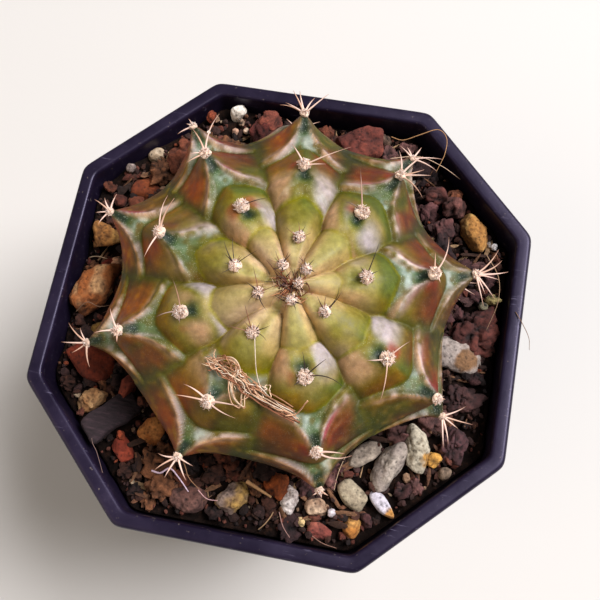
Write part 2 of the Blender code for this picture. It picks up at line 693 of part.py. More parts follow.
def make_stones():
    """The larger stones and a leaning bark chip, each a loose piece half sunk in the mix.

    Returns for each its name, points about its middle, middle and turn, so that the mix can be
    given a socket a little larger.
    """
    made = []
    for seed, (name, (middle, size, turn, sunk, finish)) in enumerate(STONES.items()):
        x, y = middle[0] * MM, middle[1] * MM
        z = float(mix_height(x, y)) + (0.5 - sunk) * size[2] * MM
        turned = np.array(Euler((0, 0, math.radians(turn))).to_matrix())
        points = stone_points(100 + seed, size) @ turned.T
        made.append((name, points, np.array([x, y, z]), min(size) * MM / 2, finish))
    middle, size = BARK_CHIP
    tilt = Matrix.Rotation(math.radians(BARK_TURN_DEGREES), 3, "Z")
    tilt = np.array(tilt @ Matrix.Rotation(-math.radians(BARK_TILT_DEGREES), 3, "Y"))
    points = stone_points(77, size) @ tilt.T
    centre = np.array([middle[0] * MM, middle[1] * MM, POT_HEIGHT + BARK_MIDDLE_HEIGHT])
    made.append(("bark_chip", points, centre, min(size) * MM / 2, "bark"))
    for name, points, centre, _, finish in made:
        hull_object(name, points + centre, finish)
    return made


# Potting mix


def add_grit(collection):
    """Small lumps of bark and stone, scattered by a seeded draw and sunk into the mix."""
    draw = np.random.default_rng(31)
    for _ in range(GRIT_COUNT):
        turn = draw.uniform(0, 2 * math.pi)
        size = draw.uniform(1.6, 3.4)
        edge = float(outline_radius(np.array([turn]), inside_width(POT_HEIGHT - MIX_DEPTH))[0])
        inner = (22.5 + size) * MM
        outer = edge - (0.9 + size / 2) * MM
        reach = inner + (outer - inner) * math.sqrt(draw.uniform(0, 1))
        x, y = reach * math.cos(turn), reach * math.sin(turn)
        z = float(mix_height(x, y)) + draw.uniform(0.0, 0.4) * size * MM
        points = stone_points(int(draw.integers(1 << 30)), (size, size * 0.8, size * 0.7))[:9]
        hull_object("grit", points + np.array([x, y, z]), "potting_mix", collection)


def make_mix(stones):
    """The mix that fills the pot, with a plain hole for the root neck and a socket per stone."""
    floor = FLOOR_UNDERSIDE + FLOOR_THICKNESS + GAP
    edge_height = POT_HEIGHT - MIX_DEPTH
    angles = spoke_angles()
    neck_radius = GLOBE_RADIUS * math.cos(NECK_ANGLE) + NECK_CLEARANCE
    hole_top = POT_HEIGHT - MIX_DEPTH
    centre = np.array([*GLOBE_CENTRE, 0.0])
    circle = np.stack([np.cos(angles), np.sin(angles), 0 * angles], -1)
    loops = [outline_loop(inside_width(floor + 1.2 * MM) - 5.0 * MM, floor)]
    loops.append(outline_loop(inside_width(floor + 1.2 * MM) - 2.4 * GAP, floor + 1.5 * MM))
    outer = outline_loop(inside_width(edge_height) - 2.4 * GAP, edge_height)
    inner = centre + neck_radius * circle
    for ring in np.linspace(0, 1, MIX_RINGS):
        loop = outer * (1 - ring) + inner * ring
        level = mix_height(loop[:, 0], loop[:, 1])
        loop[:, 2] = level + (hole_top - level) * smooth_step(0.75, 1.0, ring)
        loops.append(loop)
    for share in NECK_SHARES:
        turn = share * math.pi / 2
        loop = centre + neck_radius * math.cos(turn) * circle
        loop[:, 2] = hole_top - (NECK_DEPTH + NECK_CLEARANCE) * math.sin(turn)
        loops.append(loop)
    pole = (centre[0], centre[1], hole_top - NECK_DEPTH - NECK_CLEARANCE)
    points, faces = loft(loops, (0, 0, floor), pole)
    mix = solid("potting_mix", points, faces, "potting_mix")
    grit = working_collection("grit")
    add_grit(grit)
    combine(mix, grit, "UNION")
    sockets = working_collection("sockets")
    for name, points, middle, half, _ in stones:
        grown = points * (1 + 2.0 * GAP / half)
        hull_object("socket_" + name, grown + middle, "potting_mix", sockets)
    combine(mix, sockets, "DIFFERENCE")
    keep_largest_body(mix)
    return mix


def main():
    """Clear the scene and build every piece."""
    for old in list(bpy.data.objects):
        bpy.data.objects.remove(old)
    make_pot()
    _, skin = make_cactus()
    make_flower(skin)
    stones = make_stones()
    make_mix(stones)


main()
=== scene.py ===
"""Looks of a potted chin cactus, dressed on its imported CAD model.

A nine-ribbed globe cactus in a black nursery pot with cut corners. Lengths are in millimetres
where a name or comment says so, and in metres in every mesh.
"""
import math

import bpy
import numpy as np
from mathutils import Matrix, Vector
from mathutils.bvhtree import BVHTree


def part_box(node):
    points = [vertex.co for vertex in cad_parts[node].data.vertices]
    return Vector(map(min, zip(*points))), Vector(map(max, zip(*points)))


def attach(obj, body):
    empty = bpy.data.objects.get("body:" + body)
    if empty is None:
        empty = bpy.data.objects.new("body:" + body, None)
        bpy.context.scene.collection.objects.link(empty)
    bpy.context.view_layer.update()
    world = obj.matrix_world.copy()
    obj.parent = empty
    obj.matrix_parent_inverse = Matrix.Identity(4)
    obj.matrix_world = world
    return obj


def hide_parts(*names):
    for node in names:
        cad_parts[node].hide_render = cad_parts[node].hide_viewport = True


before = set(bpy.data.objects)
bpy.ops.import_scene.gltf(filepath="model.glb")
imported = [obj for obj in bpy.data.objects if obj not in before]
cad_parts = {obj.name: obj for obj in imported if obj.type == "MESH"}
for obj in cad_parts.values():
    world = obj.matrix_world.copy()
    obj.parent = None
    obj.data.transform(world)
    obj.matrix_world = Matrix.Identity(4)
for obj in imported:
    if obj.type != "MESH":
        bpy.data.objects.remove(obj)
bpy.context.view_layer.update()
MM = 0.001

# Camera
# The photograph looks down on the plant from just in front of it and a little to the right.
# The three angles, the place and the lens were worked out from the corners of the pot's rim.
VIEW_AZIMUTH = math.radians(19.84)
VIEW_ELEVATION = math.radians(74.22)
VIEW_ROLL = math.radians(-9.58)
CAMERA_PLACE = Vector((14.68, -31.41, 191.97)) * MM
LENS_MM, SENSOR_WIDTH_MM = 48.89, 36.0
NEAREST_SEEN = 10 * MM

back = Vector((
    math.sin(VIEW_AZIMUTH) * math.cos(VIEW_ELEVATION),
    -math.cos(VIEW_AZIMUTH) * math.cos(VIEW_ELEVATION),
    math.sin(VIEW_ELEVATION)))
level_right = Vector((0, 0, 1)).cross(back).normalized()
level_up = back.cross(level_right)
right = math.cos(VIEW_ROLL) * level_right + math.sin(VIEW_ROLL) * level_up
up = -math.sin(VIEW_ROLL) * level_right + math.cos(VIEW_ROLL) * level_up
camera_data = bpy.data.cameras.new("camera")
camera_data.lens = LENS_MM
camera_data.sensor_width = SENSOR_WIDTH_MM
camera_data.clip_start = NEAREST_SEEN
camera = bpy.data.objects.new("camera", camera_data)
camera.matrix_world = Matrix.Translation(CAMERA_PLACE) @ Matrix((right, up, back)).transposed().to_4x4()
bpy.context.scene.collection.objects.link(camera)
bpy.context.scene.camera = camera
bpy.context.scene.view_settings.view_transform = "Standard"

# Floor and studio light
# A plain pale floor, an even pale sky, one wide cool lamp from the right and behind for the
# soft shadows of the photograph, and a weak warm one from the front left.
FLOOR_COLOUR, FLOOR_REACH = "#cdc9c3", 2.0
SKY_COLOUR, SKY_STRENGTH = "#eef1f6", 0.24
LAMP_AIM_HEIGHT = 70 * MM

# For each lamp: azimuth and elevation in degrees, distance and width in metres, watts, colour.
LAMPS = {
    "key_lamp": (28.0, 54.0, 1.20, 0.62, 26.6, "#fafaff"),
    "fill_lamp": (215.0, 38.0, 0.70, 0.60, 1.6, "#ffe9d2")}


def linear(code):
    """Linear red, green and blue of an sRGB hex code: each share under the sRGB curve."""
    shares = np.array([int(code[place:place + 2], 16) / 255 for place in (1, 3, 5)])
    return np.where(shares <= 0.04045, shares / 12.92, ((shares + 0.055) / 1.055) ** 2.4)


def new_finish(name, code, roughness, ior):
    """A material named for the real one, and its shader with the even values set on it."""
    finish = bpy.data.materials.new(name)
    finish.use_nodes = True
    shader = finish.node_tree.nodes["Principled BSDF"]
    shader.inputs["Base Color"].default_value = (*linear(code), 1.0)
    shader.inputs["Roughness"].default_value = roughness
    shader.inputs["IOR"].default_value = ior
    return finish, shader


def put_mesh(name, points, faces, finish, tints=None, smooth=True):
    """An object from an array of points in metres and lists of faces, with a colour per point."""
    mesh = bpy.data.meshes.new(name)
    mesh.from_pydata(points, [], [face for part in faces for face in part.tolist()])
    mesh.materials.append(finish)
    mesh.polygons.foreach_set("use_smooth", np.full(len(mesh.polygons), smooth))
    if tints is not None:
        layer = mesh.attributes.new("tint", "FLOAT_COLOR", "POINT")
        layer.data.foreach_set("color", np.column_stack([tints, np.ones(len(tints))])[:, :4].ravel())
    made = bpy.data.objects.new(name, mesh)
    bpy.context.scene.collection.objects.link(made)
    return made


def aim_lamp(name, azimuth, elevation, distance, size, power, code):
    """A square lamp that looks at the plant from an azimuth and elevation in degrees."""
    lamp = bpy.data.lights.new(name, "AREA")
    lamp.size = size
    lamp.energy = power
    lamp.color = linear(code)
    made = bpy.data.objects.new(name, lamp)
    flat = math.cos(math.radians(elevation))
    direction = Vector((
        flat * math.cos(math.radians(azimuth)),
        flat * math.sin(math.radians(azimuth)),
        math.sin(math.radians(elevation))))
    made.location = Vector((0, 0, LAMP_AIM_HEIGHT)) + direction * distance
    made.rotation_euler = direction.to_track_quat("Z", "Y").to_euler()
    bpy.context.scene.collection.objects.link(made)


floor_finish, _ = new_finish("matt_backdrop_paper", FLOOR_COLOUR, 0.85, 1.45)
floor_corners = FLOOR_REACH * np.array([[-1, -1, 0], [1, -1, 0], [1, 1, 0], [-1, 1, 0]])
floor = put_mesh("floor", floor_corners, [np.array([[0, 1, 2, 3]])], floor_finish, smooth=False)
sky = bpy.data.worlds.new("pale_sky")
sky.use_nodes = True
sky.node_tree.nodes["Background"].inputs["Color"].default_value = (*linear(SKY_COLOUR), 1.0)
sky.node_tree.nodes["Background"].inputs["Strength"].default_value = SKY_STRENGTH
bpy.context.scene.world = sky
for name, values in LAMPS.items():
    aim_lamp(name, *values)

# Pot
# A thin nursery pot of black polypropylene, injection moulded in one piece: a tapered wall, a
# collar with a rolled rim round the top, and a raised floor with drain holes on a notched foot.
POT_WIDTH, POT_HEIGHT, BASE_WIDTH = 75.0 * MM, 68.0 * MM, 56.0 * MM
LONG_TO_CORNER_SIDE, OUTLINE_POWER = 1.352, 120
RIM_LEDGE, COLLAR_HEIGHT, COLLAR_STEP, WALL = 2.4 * MM, 6.5 * MM, 1.2 * MM, 1.2 * MM
FLOOR_UNDERSIDE, FLOOR_THICKNESS, FOOT_WIDTH = 3.0 * MM, 1.6 * MM, 1.6 * MM
MIDDLE_HOLE, RING_HOLE, DRAIN_CIRCLE = 4.2 * MM, 3.0 * MM, 17 * MM
DRAIN_HOLES = [(0.0, 0.0, MIDDLE_HOLE)] + [
    (DRAIN_CIRCLE * math.cos(turn), DRAIN_CIRCLE * math.sin(turn), RING_HOLE)
    for turn in (np.arange(8) + 0.5) * math.pi / 4]
NOTCH_WIDTH, NOTCH_HEIGHT = 10 * MM, 2 * MM
CORNER_STEPS_DEGREES = (-1.8, -1.0, -0.5, 0.0, 0.5, 1.0, 1.8)
DUST_SIZE, SPECK_SIZE = 9 * MM, 0.7 * MM
SCRATCHES_PER_METRE = (140.0, 1900.0, 900.0)


def add_node(finish, kind, output, inputs, stops=None, **settings):
    """Adds one node with its settings, fixed inputs and links, and the stops of a colour ramp
    in rising order. Gives back the output socket of that name."""
    tree = finish.node_tree
    made = tree.nodes.new(kind)
    for name, value in settings.items():
        setattr(made, name, value)
    for name, value in inputs.items():
        socket = [found for found in made.inputs if found.name == name and found.enabled][0]
        if isinstance(value, bpy.types.NodeSocket):
            tree.links.new(value, socket)
        else:
            socket.default_value = value
    for number, (place, code) in enumerate(stops or []):
        elements = made.color_ramp.elements
        stop = elements[number] if number < 2 else elements.new(place)
        stop.position = place
        stop.color = (*linear(code), 1.0)
    return [found for found in made.outputs if found.name == output and found.enabled][0]


def link(finish, source, target):
    """Joins one socket to another."""
    finish.node_tree.links.new(source, target)


def closed_faces(rows, columns, count=1):
    """Faces of as many closed grids, each with its points row by row and then two poles: quads
    between the rows, and a fan of triangles from each pole to the row next to it."""
    row, column = np.meshgrid(np.arange(rows - 1), np.arange(columns), indexing="ij")
    first = (row * columns + column).ravel()
    second = (row * columns + (column + 1) % columns).ravel()
    quads = np.stack([first, second, second + columns, first + columns], -1)
    ring = np.arange(columns)
    following = np.roll(ring, -1)
    pole, last_row = rows * columns, (rows - 1) * columns
    first_fan = np.stack([following, ring, np.full(columns, pole)], -1)
    last_fan = np.stack([last_row + ring, last_row + following, np.full(columns, pole + 1)], -1)
    shift = np.arange(count)[:, None, None] * (pole + 2)
    return [(part + shift).reshape(-1, part.shape[1]) for part in (quads, first_fan, last_fan)]


def put_loft(name, loops, first_pole, last_pole, finish, tints=None):
    """A closed body through equal loops, each end closed by a fan to a pole."""
    points = np.concatenate([loops.reshape(-1, 3), [first_pole, last_pole]])
    return put_mesh(name, points, closed_faces(*loops.shape[:2]), finish, tints)


def outline_radius(angles, width):
    """Distance to the eight-sided outline by direction: where a high power sum of the eight
    side distances is one, which rounds the corners a little."""
    long_side = width * LONG_TO_CORNER_SIDE / (LONG_TO_CORNER_SIDE + math.sqrt(2))
    corner_side = (long_side + width) / math.sqrt(2)
    sides = np.where(np.arange(8) % 2, corner_side, width) / 2
    facing = np.cos(np.asarray(angles)[..., None] - np.arange(8) * math.pi / 4)
    return ((np.clip(facing, 0, None) / sides) ** OUTLINE_POWER).sum(-1) ** (-1 / OUTLINE_POWER)


def outline_loops(angles, profile):
    """One level loop of the outline for each (width, height) of a profile."""
    loops = []
    for width, height in profile:
        radius = outline_radius(angles, width)
        loops.append(np.stack([radius * np.cos(angles), radius * np.sin(angles), 0 * radius + height], -1))
    return np.array(loops)


def wall_width(height):
    """Outer width of the tapered wall at a height: a straight line from the foot to the collar."""
    top = POT_WIDTH - 2 * COLLAR_STEP
    return BASE_WIDTH + (top - BASE_WIDTH) * height / (POT_HEIGHT - COLLAR_HEIGHT)


def inside_width(height):
    """Inner width of the wall, which never passes the lip of the rim."""
    return min(wall_width(height) - 2 * WALL, POT_WIDTH - 2 * RIM_LEDGE)


def bend(start, corner, end, steps):
    """Points of a quarter turn from start to end that leaves and arrives towards a corner."""
    share = np.linspace(0, 1, steps)[:, None]
    start, corner, end = np.array(start), np.array(corner), np.array(end)
    return ((1 - share) ** 2 * start + 2 * share * (1 - share) * corner + share ** 2 * end).tolist()


def cut_away(target, cutters):
    """Takes the cutters out of the target with a Boolean each, and removes them."""
    for cutter in cutters:
        cut = target.modifiers.new("cut", "BOOLEAN")
        cut.object = cutter
        cut.solver = "EXACT"
    finished = bpy.data.meshes.new_from_object(target.evaluated_get(bpy.context.evaluated_depsgraph_get()))
    target.modifiers.clear()
    target.data = finished
    for cutter in cutters:
        bpy.data.objects.remove(cutter)


corner = math.degrees(math.atan2(LONG_TO_CORNER_SIDE / (LONG_TO_CORNER_SIDE + math.sqrt(2)), 1))
quarter = list(np.arange(0, 90, 3.0))
for middle in (corner, 90 - corner):
    quarter += [middle + step for step in CORNER_STEPS_DEGREES]
POT_ANGLES = np.radians(np.sort([turn + step for turn in (0, 90, 180, 270) for step in quarter]))
lip, collar_foot = POT_WIDTH - 2 * RIM_LEDGE, POT_HEIGHT - COLLAR_HEIGHT
floor_top = FLOOR_UNDERSIDE + FLOOR_THICKNESS

# Half of the pot's section as (width, height): from the middle of its underside out over the
# foot ring, up the wall, out and up the collar, over the rolled rim and down the inside.
pot_profile = [
    (BASE_WIDTH - 2 * FOOT_WIDTH - 1.0 * MM, FLOOR_UNDERSIDE),
    (BASE_WIDTH - 2 * FOOT_WIDTH - 0.2 * MM, 0.3 * MM),
    (BASE_WIDTH - 2 * FOOT_WIDTH + 0.4 * MM, 0.0)]
pot_profile += bend((BASE_WIDTH - 0.8 * MM, 0), (BASE_WIDTH, 0), (wall_width(0.5 * MM), 0.5 * MM), 4)
pot_profile += [(wall_width(height * MM), height * MM) for height in np.linspace(6, 60, 8)]
pot_profile += bend(
    (wall_width(collar_foot - 0.4 * MM), collar_foot - 0.4 * MM), (wall_width(collar_foot), collar_foot),
    (POT_WIDTH - 1.2 * MM, collar_foot + 0.1 * MM), 4)
pot_profile += bend(
    (POT_WIDTH - 0.9 * MM, collar_foot + 0.15 * MM), (POT_WIDTH - 0.5 * MM, collar_foot + 0.2 * MM),
    (POT_WIDTH - 0.45 * MM, collar_foot + 0.8 * MM), 4)
pot_profile += bend(
    (POT_WIDTH, POT_HEIGHT - 1.0 * MM), (POT_WIDTH, POT_HEIGHT), (POT_WIDTH - 1.5 * MM, POT_HEIGHT), 7)
pot_profile += bend(
    (lip + 1.2 * MM, POT_HEIGHT - 0.08 * MM), (lip, POT_HEIGHT - 0.08 * MM), (lip, POT_HEIGHT - 0.9 * MM), 6)
pot_profile += [
    (inside_width(collar_foot), collar_foot),
    (inside_width(floor_top + 1.2 * MM), floor_top + 1.2 * MM),
    (inside_width(floor_top) - 2.0 * MM, floor_top)]

# Black polypropylene, injection moulded: a soft sheen, patches of fine dust, a little violet in
# the light, and scattered pale scuffs.
polypropylene, shader = new_finish("black_polypropylene", "#19151f", 0.42, 1.49)
place = add_node(polypropylene, "ShaderNodeTexCoord", "Object", {})
dust = add_node(polypropylene, "ShaderNodeTexNoise", "Fac", {
    "Vector": place, "Scale": 1 / DUST_SIZE, "Detail": 9.0, "Roughness": 0.68})
dust_tone = add_node(
    polypropylene, "ShaderNodeValToRGB", "Color", {"Fac": dust},
    stops=[(0.40, "#150f1f"), (0.64, "#1f182a"), (0.80, "#3a3142")])
specks = add_node(polypropylene, "ShaderNodeTexNoise", "Fac", {
    "Vector": place, "Scale": 1 / SPECK_SIZE, "Detail": 3.0, "Roughness": 0.6})
speck_share = add_node(polypropylene, "ShaderNodeMapRange", "Result", {
    "Value": specks, "From Min": 0.66, "From Max": 0.74, "To Min": 0.0, "To Max": 0.55})
stretched = add_node(polypropylene, "ShaderNodeMapping", "Vector", {
    "Vector": place, "Rotation": (0.3, 0.2, 0.9), "Scale": SCRATCHES_PER_METRE})
scratch = add_node(polypropylene, "ShaderNodeTexNoise", "Fac", {
    "Vector": stretched, "Scale": 1.0, "Detail": 4.0, "Roughness": 0.7})
scratch_share = add_node(polypropylene, "ShaderNodeMapRange", "Result", {
    "Value": scratch, "From Min": 0.63, "From Max": 0.72, "To Min": 0.0, "To Max": 0.5})
dusty = add_node(polypropylene, "ShaderNodeMix", "Result", {
    "Factor": speck_share, "A": dust_tone, "B": (*linear("#7d7067"), 1.0)}, data_type="RGBA")
scuffed = add_node(polypropylene, "ShaderNodeMix", "Result", {
    "Factor": scratch_share, "A": dusty, "B": (*linear("#6f687e"), 1.0)}, data_type="RGBA")
link(polypropylene, scuffed, shader.inputs["Base Color"])
sheen = add_node(polypropylene, "ShaderNodeMapRange", "Result", {
    "Value": dust, "From Min": 0.3, "From Max": 0.75, "To Min": 0.28, "To Max": 0.48})
link(polypropylene, sheen, shader.inputs["Roughness"])
shader.inputs["Specular Tint"].default_value = (0.80, 0.72, 1.0, 1.0)
shader.inputs["Specular IOR Level"].default_value = 0.32
grain = add_node(polypropylene, "ShaderNodeBump", "Normal", {
    "Height": specks, "Strength": 0.25, "Distance": 0.05 * MM})
link(polypropylene, grain, shader.inputs["Normal"])

pot = put_loft(
    "nursery_pot", outline_loops(POT_ANGLES, pot_profile), (0, 0, FLOOR_UNDERSIDE), (0, 0, floor_top),
    polypropylene)
cutters = []
circle = np.radians(np.arange(0, 360, 7.5))
below_floor, above_floor = FLOOR_UNDERSIDE - 1 * MM, floor_top + 1.4 * MM
for x, y, radius in DRAIN_HOLES:
    ring = np.stack([x + radius * np.cos(circle), y + radius * np.sin(circle)], -1)
    rings = np.stack([np.column_stack([ring, 0 * circle + height]) for height in (below_floor, above_floor)])
    cutters.append(put_loft("drain", rings, (x, y, below_floor), (x, y, above_floor), polypropylene))
near, far, half = BASE_WIDTH / 2 - 4 * MM, BASE_WIDTH / 2 + 2 * MM, NOTCH_WIDTH / 2
square = np.array([[near, -half], [far, -half], [far, half], [near, half]])
below_foot = -1 * MM
for turn in np.radians([0, 90, 180, 270]):
    turned = square @ np.array([[np.cos(turn), np.sin(turn)], [-np.sin(turn), np.cos(turn)]])
    rings = np.stack([np.column_stack([turned, np.full(4, height)]) for height in (below_foot, NOTCH_HEIGHT)])
    middle = turned.mean(0)
    cutters.append(put_loft("notch", rings, (*middle, below_foot), (*middle, NOTCH_HEIGHT), polypropylene))
cut_away(pot, cutters)
pot.data.set_sharp_from_angle(angle=math.radians(40))
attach(pot, "root")
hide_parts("pot")

# Potting mix
# Crushed bark and black soil, pressed into the pot to a few millimetres under its rim, a
# little higher round the plant than at the wall. A plain hole in its middle takes the root neck.
MIX_TOP = POT_HEIGHT - 4.5 * MM
BANK_MM, BANK_STARTS_MM, BANK_ENDS_MM = 1.6, 25.0, 33.5
PLANT_MIDDLE_MM = (-0.3, 2.2)
NECK_HOLE, NECK_HOLE_DEPTH, HOLE_ROWS = 15.4 * MM, 24.6 * MM, (0.3, 0.6, 0.85)
MIX_ROWS, MIX_COLUMNS = 70, 240
LATTICE_PRIMES = (73856093, 19349663, 83492791)


def smooth_step(low, high, value):
    """0 below low, 1 above high, and between them 3 s^2 - 2 s^3 of the share s of the way."""
    share = np.clip((value - low) / (high - low), 0.0, 1.0)
    return share * share * (3.0 - 2.0 * share)


def mixed(first, second, share):
    """First turned into second by a share, which is one number or an array."""
    return first + (second - first) * share


def noise(points, size, seed):
    """Smooth value noise from -1 to 1: a number worked out from the place of each corner of a
    cubic lattice of that size, by multiplying with primes and folding the bits, and mixed
    between the eight corners round each point by the smooth step of the shares of the way."""
    place = np.asarray(points) / size + seed * 17.31
    cell = np.floor(place).astype(np.int64)
    share = smooth_step(0, 1, place - cell)
    total = np.zeros(place.shape[:-1])
    for corner_number in range(8):
        step = np.array([corner_number & 1, corner_number >> 1 & 1, corner_number >> 2 & 1])
        first, second, third = np.moveaxis((cell + step) * LATTICE_PRIMES, -1, 0)
        mash = first ^ second ^ third
        mash = (mash ^ mash >> 13) * 1274126177 & 0x7FFFFFFF
        mash = (mash ^ mash >> 15) & 0xFFFF
        total += (mash / 32767.5 - 1) * np.where(step, share, 1 - share).prod(-1)
    return total


def mix_height(x, y):
    """Height of the mix: a low mound with waves a few crumbs wide, banked up against the back
    left wall, x and y in metres."""
    waves = 0.35 * np.sin(x / MM * 0.9 + 1.3) * np.sin(y / MM * 0.8 + 0.4)
    waves = waves + 0.3 * np.sin(x / MM * 1.7 - y / MM * 1.1)
    mound = 0.6 * np.cos(np.hypot(x, y) / MM * 0.1)
    bank = BANK_MM * smooth_step(BANK_STARTS_MM, BANK_ENDS_MM, (y - x) / MM / math.sqrt(2))
    return MIX_TOP + (waves + mound + bank) * MM


# Black soil between the crumbs: matt, nearly black when moist, with brown peat dust.
soil, shader = new_finish("moist_peat_soil", "#1a1210", 0.95, 1.4)
place = add_node(soil, "ShaderNodeTexCoord", "Object", {})
clods = add_node(soil, "ShaderNodeTexNoise", "Fac", {
    "Vector": place, "Scale": 1 / (1.2 * MM), "Detail": 8.0, "Roughness": 0.7})
soil_tone = add_node(
    soil, "ShaderNodeValToRGB", "Color", {"Fac": clods},
    stops=[(0.35, "#080504"), (0.55, "#1a100c"), (0.74, "#3c251a")])
link(soil, soil_tone, shader.inputs["Base Color"])
shader.inputs["Specular IOR Level"].default_value = 0.15
rough = add_node(soil, "ShaderNodeBump", "Normal", {"Height": clods, "Strength": 0.9, "Distance": 0.4 * MM})
link(soil, rough, shader.inputs["Normal"])

edge_width = inside_width(MIX_TOP) - 0.8 * MM
mix_angles = np.linspace(0, 2 * math.pi, MIX_COLUMNS, endpoint=False)
edge_radius = outline_radius(mix_angles, edge_width)
middle = np.array(PLANT_MIDDLE_MM) * MM
around = np.stack([np.cos(mix_angles), np.sin(mix_angles)], -1)
mix_loops = [
    np.column_stack([around * outline_radius(mix_angles, width)[:, None], np.full(len(around), height)])
    for width, height in (
        (inside_width(floor_top + 1.5 * MM) - 6 * MM, floor_top + 0.3 * MM),
        (inside_width(floor_top + 1.5 * MM) - 0.8 * MM, floor_top + 1.8 * MM))]
for share in np.linspace(0, 1, MIX_ROWS):
    flat = mixed(around * edge_radius[:, None], middle + around * NECK_HOLE, share)
    level = mix_height(flat[:, 0], flat[:, 1])
    lumps = noise(np.column_stack([flat, 0 * level]), 2.6 * MM, 3) * 0.5 * MM
    lumps += noise(np.column_stack([flat, 0 * level]), 1.1 * MM, 4) * 0.3 * MM
    steady = smooth_step(0.85, 1.0, share)
    level = mixed(level + lumps - 0.5 * MM, MIX_TOP, steady)
    mix_loops.append(np.column_stack([flat, level]))
for share in HOLE_ROWS:
    turn = share * math.pi / 2
    flat = middle + around * NECK_HOLE * math.cos(turn)
    mix_loops.append(np.column_stack([flat, np.full(len(flat), MIX_TOP - NECK_HOLE_DEPTH * math.sin(turn))]))
mix_bed = put_loft(
    "potting_mix_bed", np.array(mix_loops), (0, 0, floor_top + 0.3 * MM),
    (*middle, MIX_TOP - NECK_HOLE_DEPTH), soil)
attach(mix_bed, "root")
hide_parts("potting_mix")

# Crumbs
# Bits of bark, broken lava and a little perlite, half a millimetre to two and a half across,
# that lie loose on the soil in several layers and roll up against the wall and the stones.

# How many coarse and fine ones with their widths, and how far out they start, as the share of
# the way to the wall. The plant hides the rest.
CRUMB_SIZES_MM, CRUMBS_START = ((1500, 1.2, 2.6), (2300, 0.5, 1.3)), 0.5

# Colours with the share of the crumbs that each has.
CRUMB_TONES = (
    ("#36201a", 0.26), ("#4a2a1e", 0.17), ("#221411", 0.17), ("#602f22", 0.12), ("#4a302c", 0.10),
    ("#6a3a2c", 0.06), ("#7d5138", 0.04), ("#95745a", 0.03), ("#b39a7c", 0.015), ("#d6cbbd", 0.01),
    ("#8a4024", 0.015))


def lump_template():
    """Eighteen directions and thirty-two triangles: an octahedron with every face split in four."""
    corners = [(1, 0, 0), (-1, 0, 0), (0, 1, 0), (0, -1, 0), (0, 0, 1), (0, 0, -1)]
    triangles = [(0, 2, 4), (2, 1, 4), (1, 3, 4), (3, 0, 4), (2, 0, 5), (1, 2, 5), (3, 1, 5), (0, 3, 5)]
    points, halves, faces = [np.array(point, float) for point in corners], {}, []
    for first, second, third in triangles:
        middles = []
        for pair in ((first, second), (second, third), (third, first)):
            key = frozenset(pair)
            if key not in halves:
                halves[key] = len(points)
                points.append((points[pair[0]] + points[pair[1]]) / math.sqrt(2))
            middles.append(halves[key])
        faces += [(first, middles[0], middles[2]), (second, middles[1], middles[0]),
                  (third, middles[2], middles[1]), tuple(middles)]
    return np.array(points), np.array(faces)


def unit(vectors):
    """Vectors scaled to a length of one."""
    return vectors / (np.linalg.norm(vectors, axis=-1, keepdims=True) + 1e-15)


def turned_at_random(draw, count, tilt=1.0):
    """As many random turns in space, from unit quaternions. A small tilt keeps them level."""
    w, x, y, z = unit(draw.normal(size=(count, 4)) * (1, tilt, tilt, 1)).T
    return np.stack([
        np.stack([1 - 2 * (y * y + z * z), 2 * (x * y - z * w), 2 * (x * z + y * w)], -1),
        np.stack([2 * (x * y + z * w), 1 - 2 * (x * x + z * z), 2 * (y * z - x * w)], -1),
        np.stack([2 * (x * z - y * w), 2 * (y * z + x * w), 1 - 2 * (x * x + y * y)], -1)], 1)


def put_lumps(name, centres, sizes, draw, tones, finish, axes=((0.60, 1.0), (0.45, 0.85)), tilt=1.0):
    """One mesh of many lumps: the template of directions, each pushed in or out at random,
    squashed along two axes, turned at random and moved to its centre."""
    directions, faces = lump_template()
    count = len(centres)
    reach = draw.uniform(0.60, 1.0, (count, len(directions), 1))
    squash = np.stack([np.ones(count), draw.uniform(*axes[0], count), draw.uniform(*axes[1], count)], -1)
    local = directions * reach * squash[:, None, :] * sizes[:, None, None] / 2
    points = np.einsum("nij,nkj->nki", turned_at_random(draw, count, tilt), local) + centres[:, None, :]
    shifted = faces[None] + np.arange(count)[:, None, None] * len(directions)
    shade = draw.uniform(0.75, 1.25, (count, len(directions), 1))
    tints = np.clip(tones[:, None, :] * shade, 0, 1)
    return put_mesh(
        name, points.reshape(-1, 3), [shifted.reshape(-1, 3)], finish, tints.reshape(-1, 3), smooth=False)


def scatter(draw, count, sizes_mm, wall_gap, inner=0.0, least=0.0):
    """Flat places and sizes of bits strewn evenly over the mix: a turn, a size, and a way out
    from an inner ring to the wall by the root of an even draw between the least and one."""
    turn = draw.uniform(0, 2 * math.pi, count)
    size = draw.uniform(*sizes_mm, count) * MM
    outer = outline_radius(turn, edge_width) - wall_gap - size / 2
    reach = inner + (outer - inner) * np.sqrt(draw.uniform(least, 1, count))
    return np.stack([reach * np.cos(turn), reach * np.sin(turn)], -1), size


def clear_of_stones(flat, share, margin=0.0):
    """Which flat places lie outside a share of every stone's ellipse widened by a margin."""
    low, high = stone_boxes[:, 0, :2], stone_boxes[:, 1, :2]
    away = np.abs(flat[:, None] - (low + high) / 2) / ((high - low) / 2 + margin)
    return (np.hypot(away[..., 0], away[..., 1]) > share).all(1)


def pick_tones(draw, tones, count):
    """As many colours drawn from pairs of a code and its share."""
    shares = np.array([share for _, share in tones])
    chosen = draw.choice(len(tones), count, p=shares / shares.sum())
    return np.array([linear(code) for code, _ in tones])[chosen]


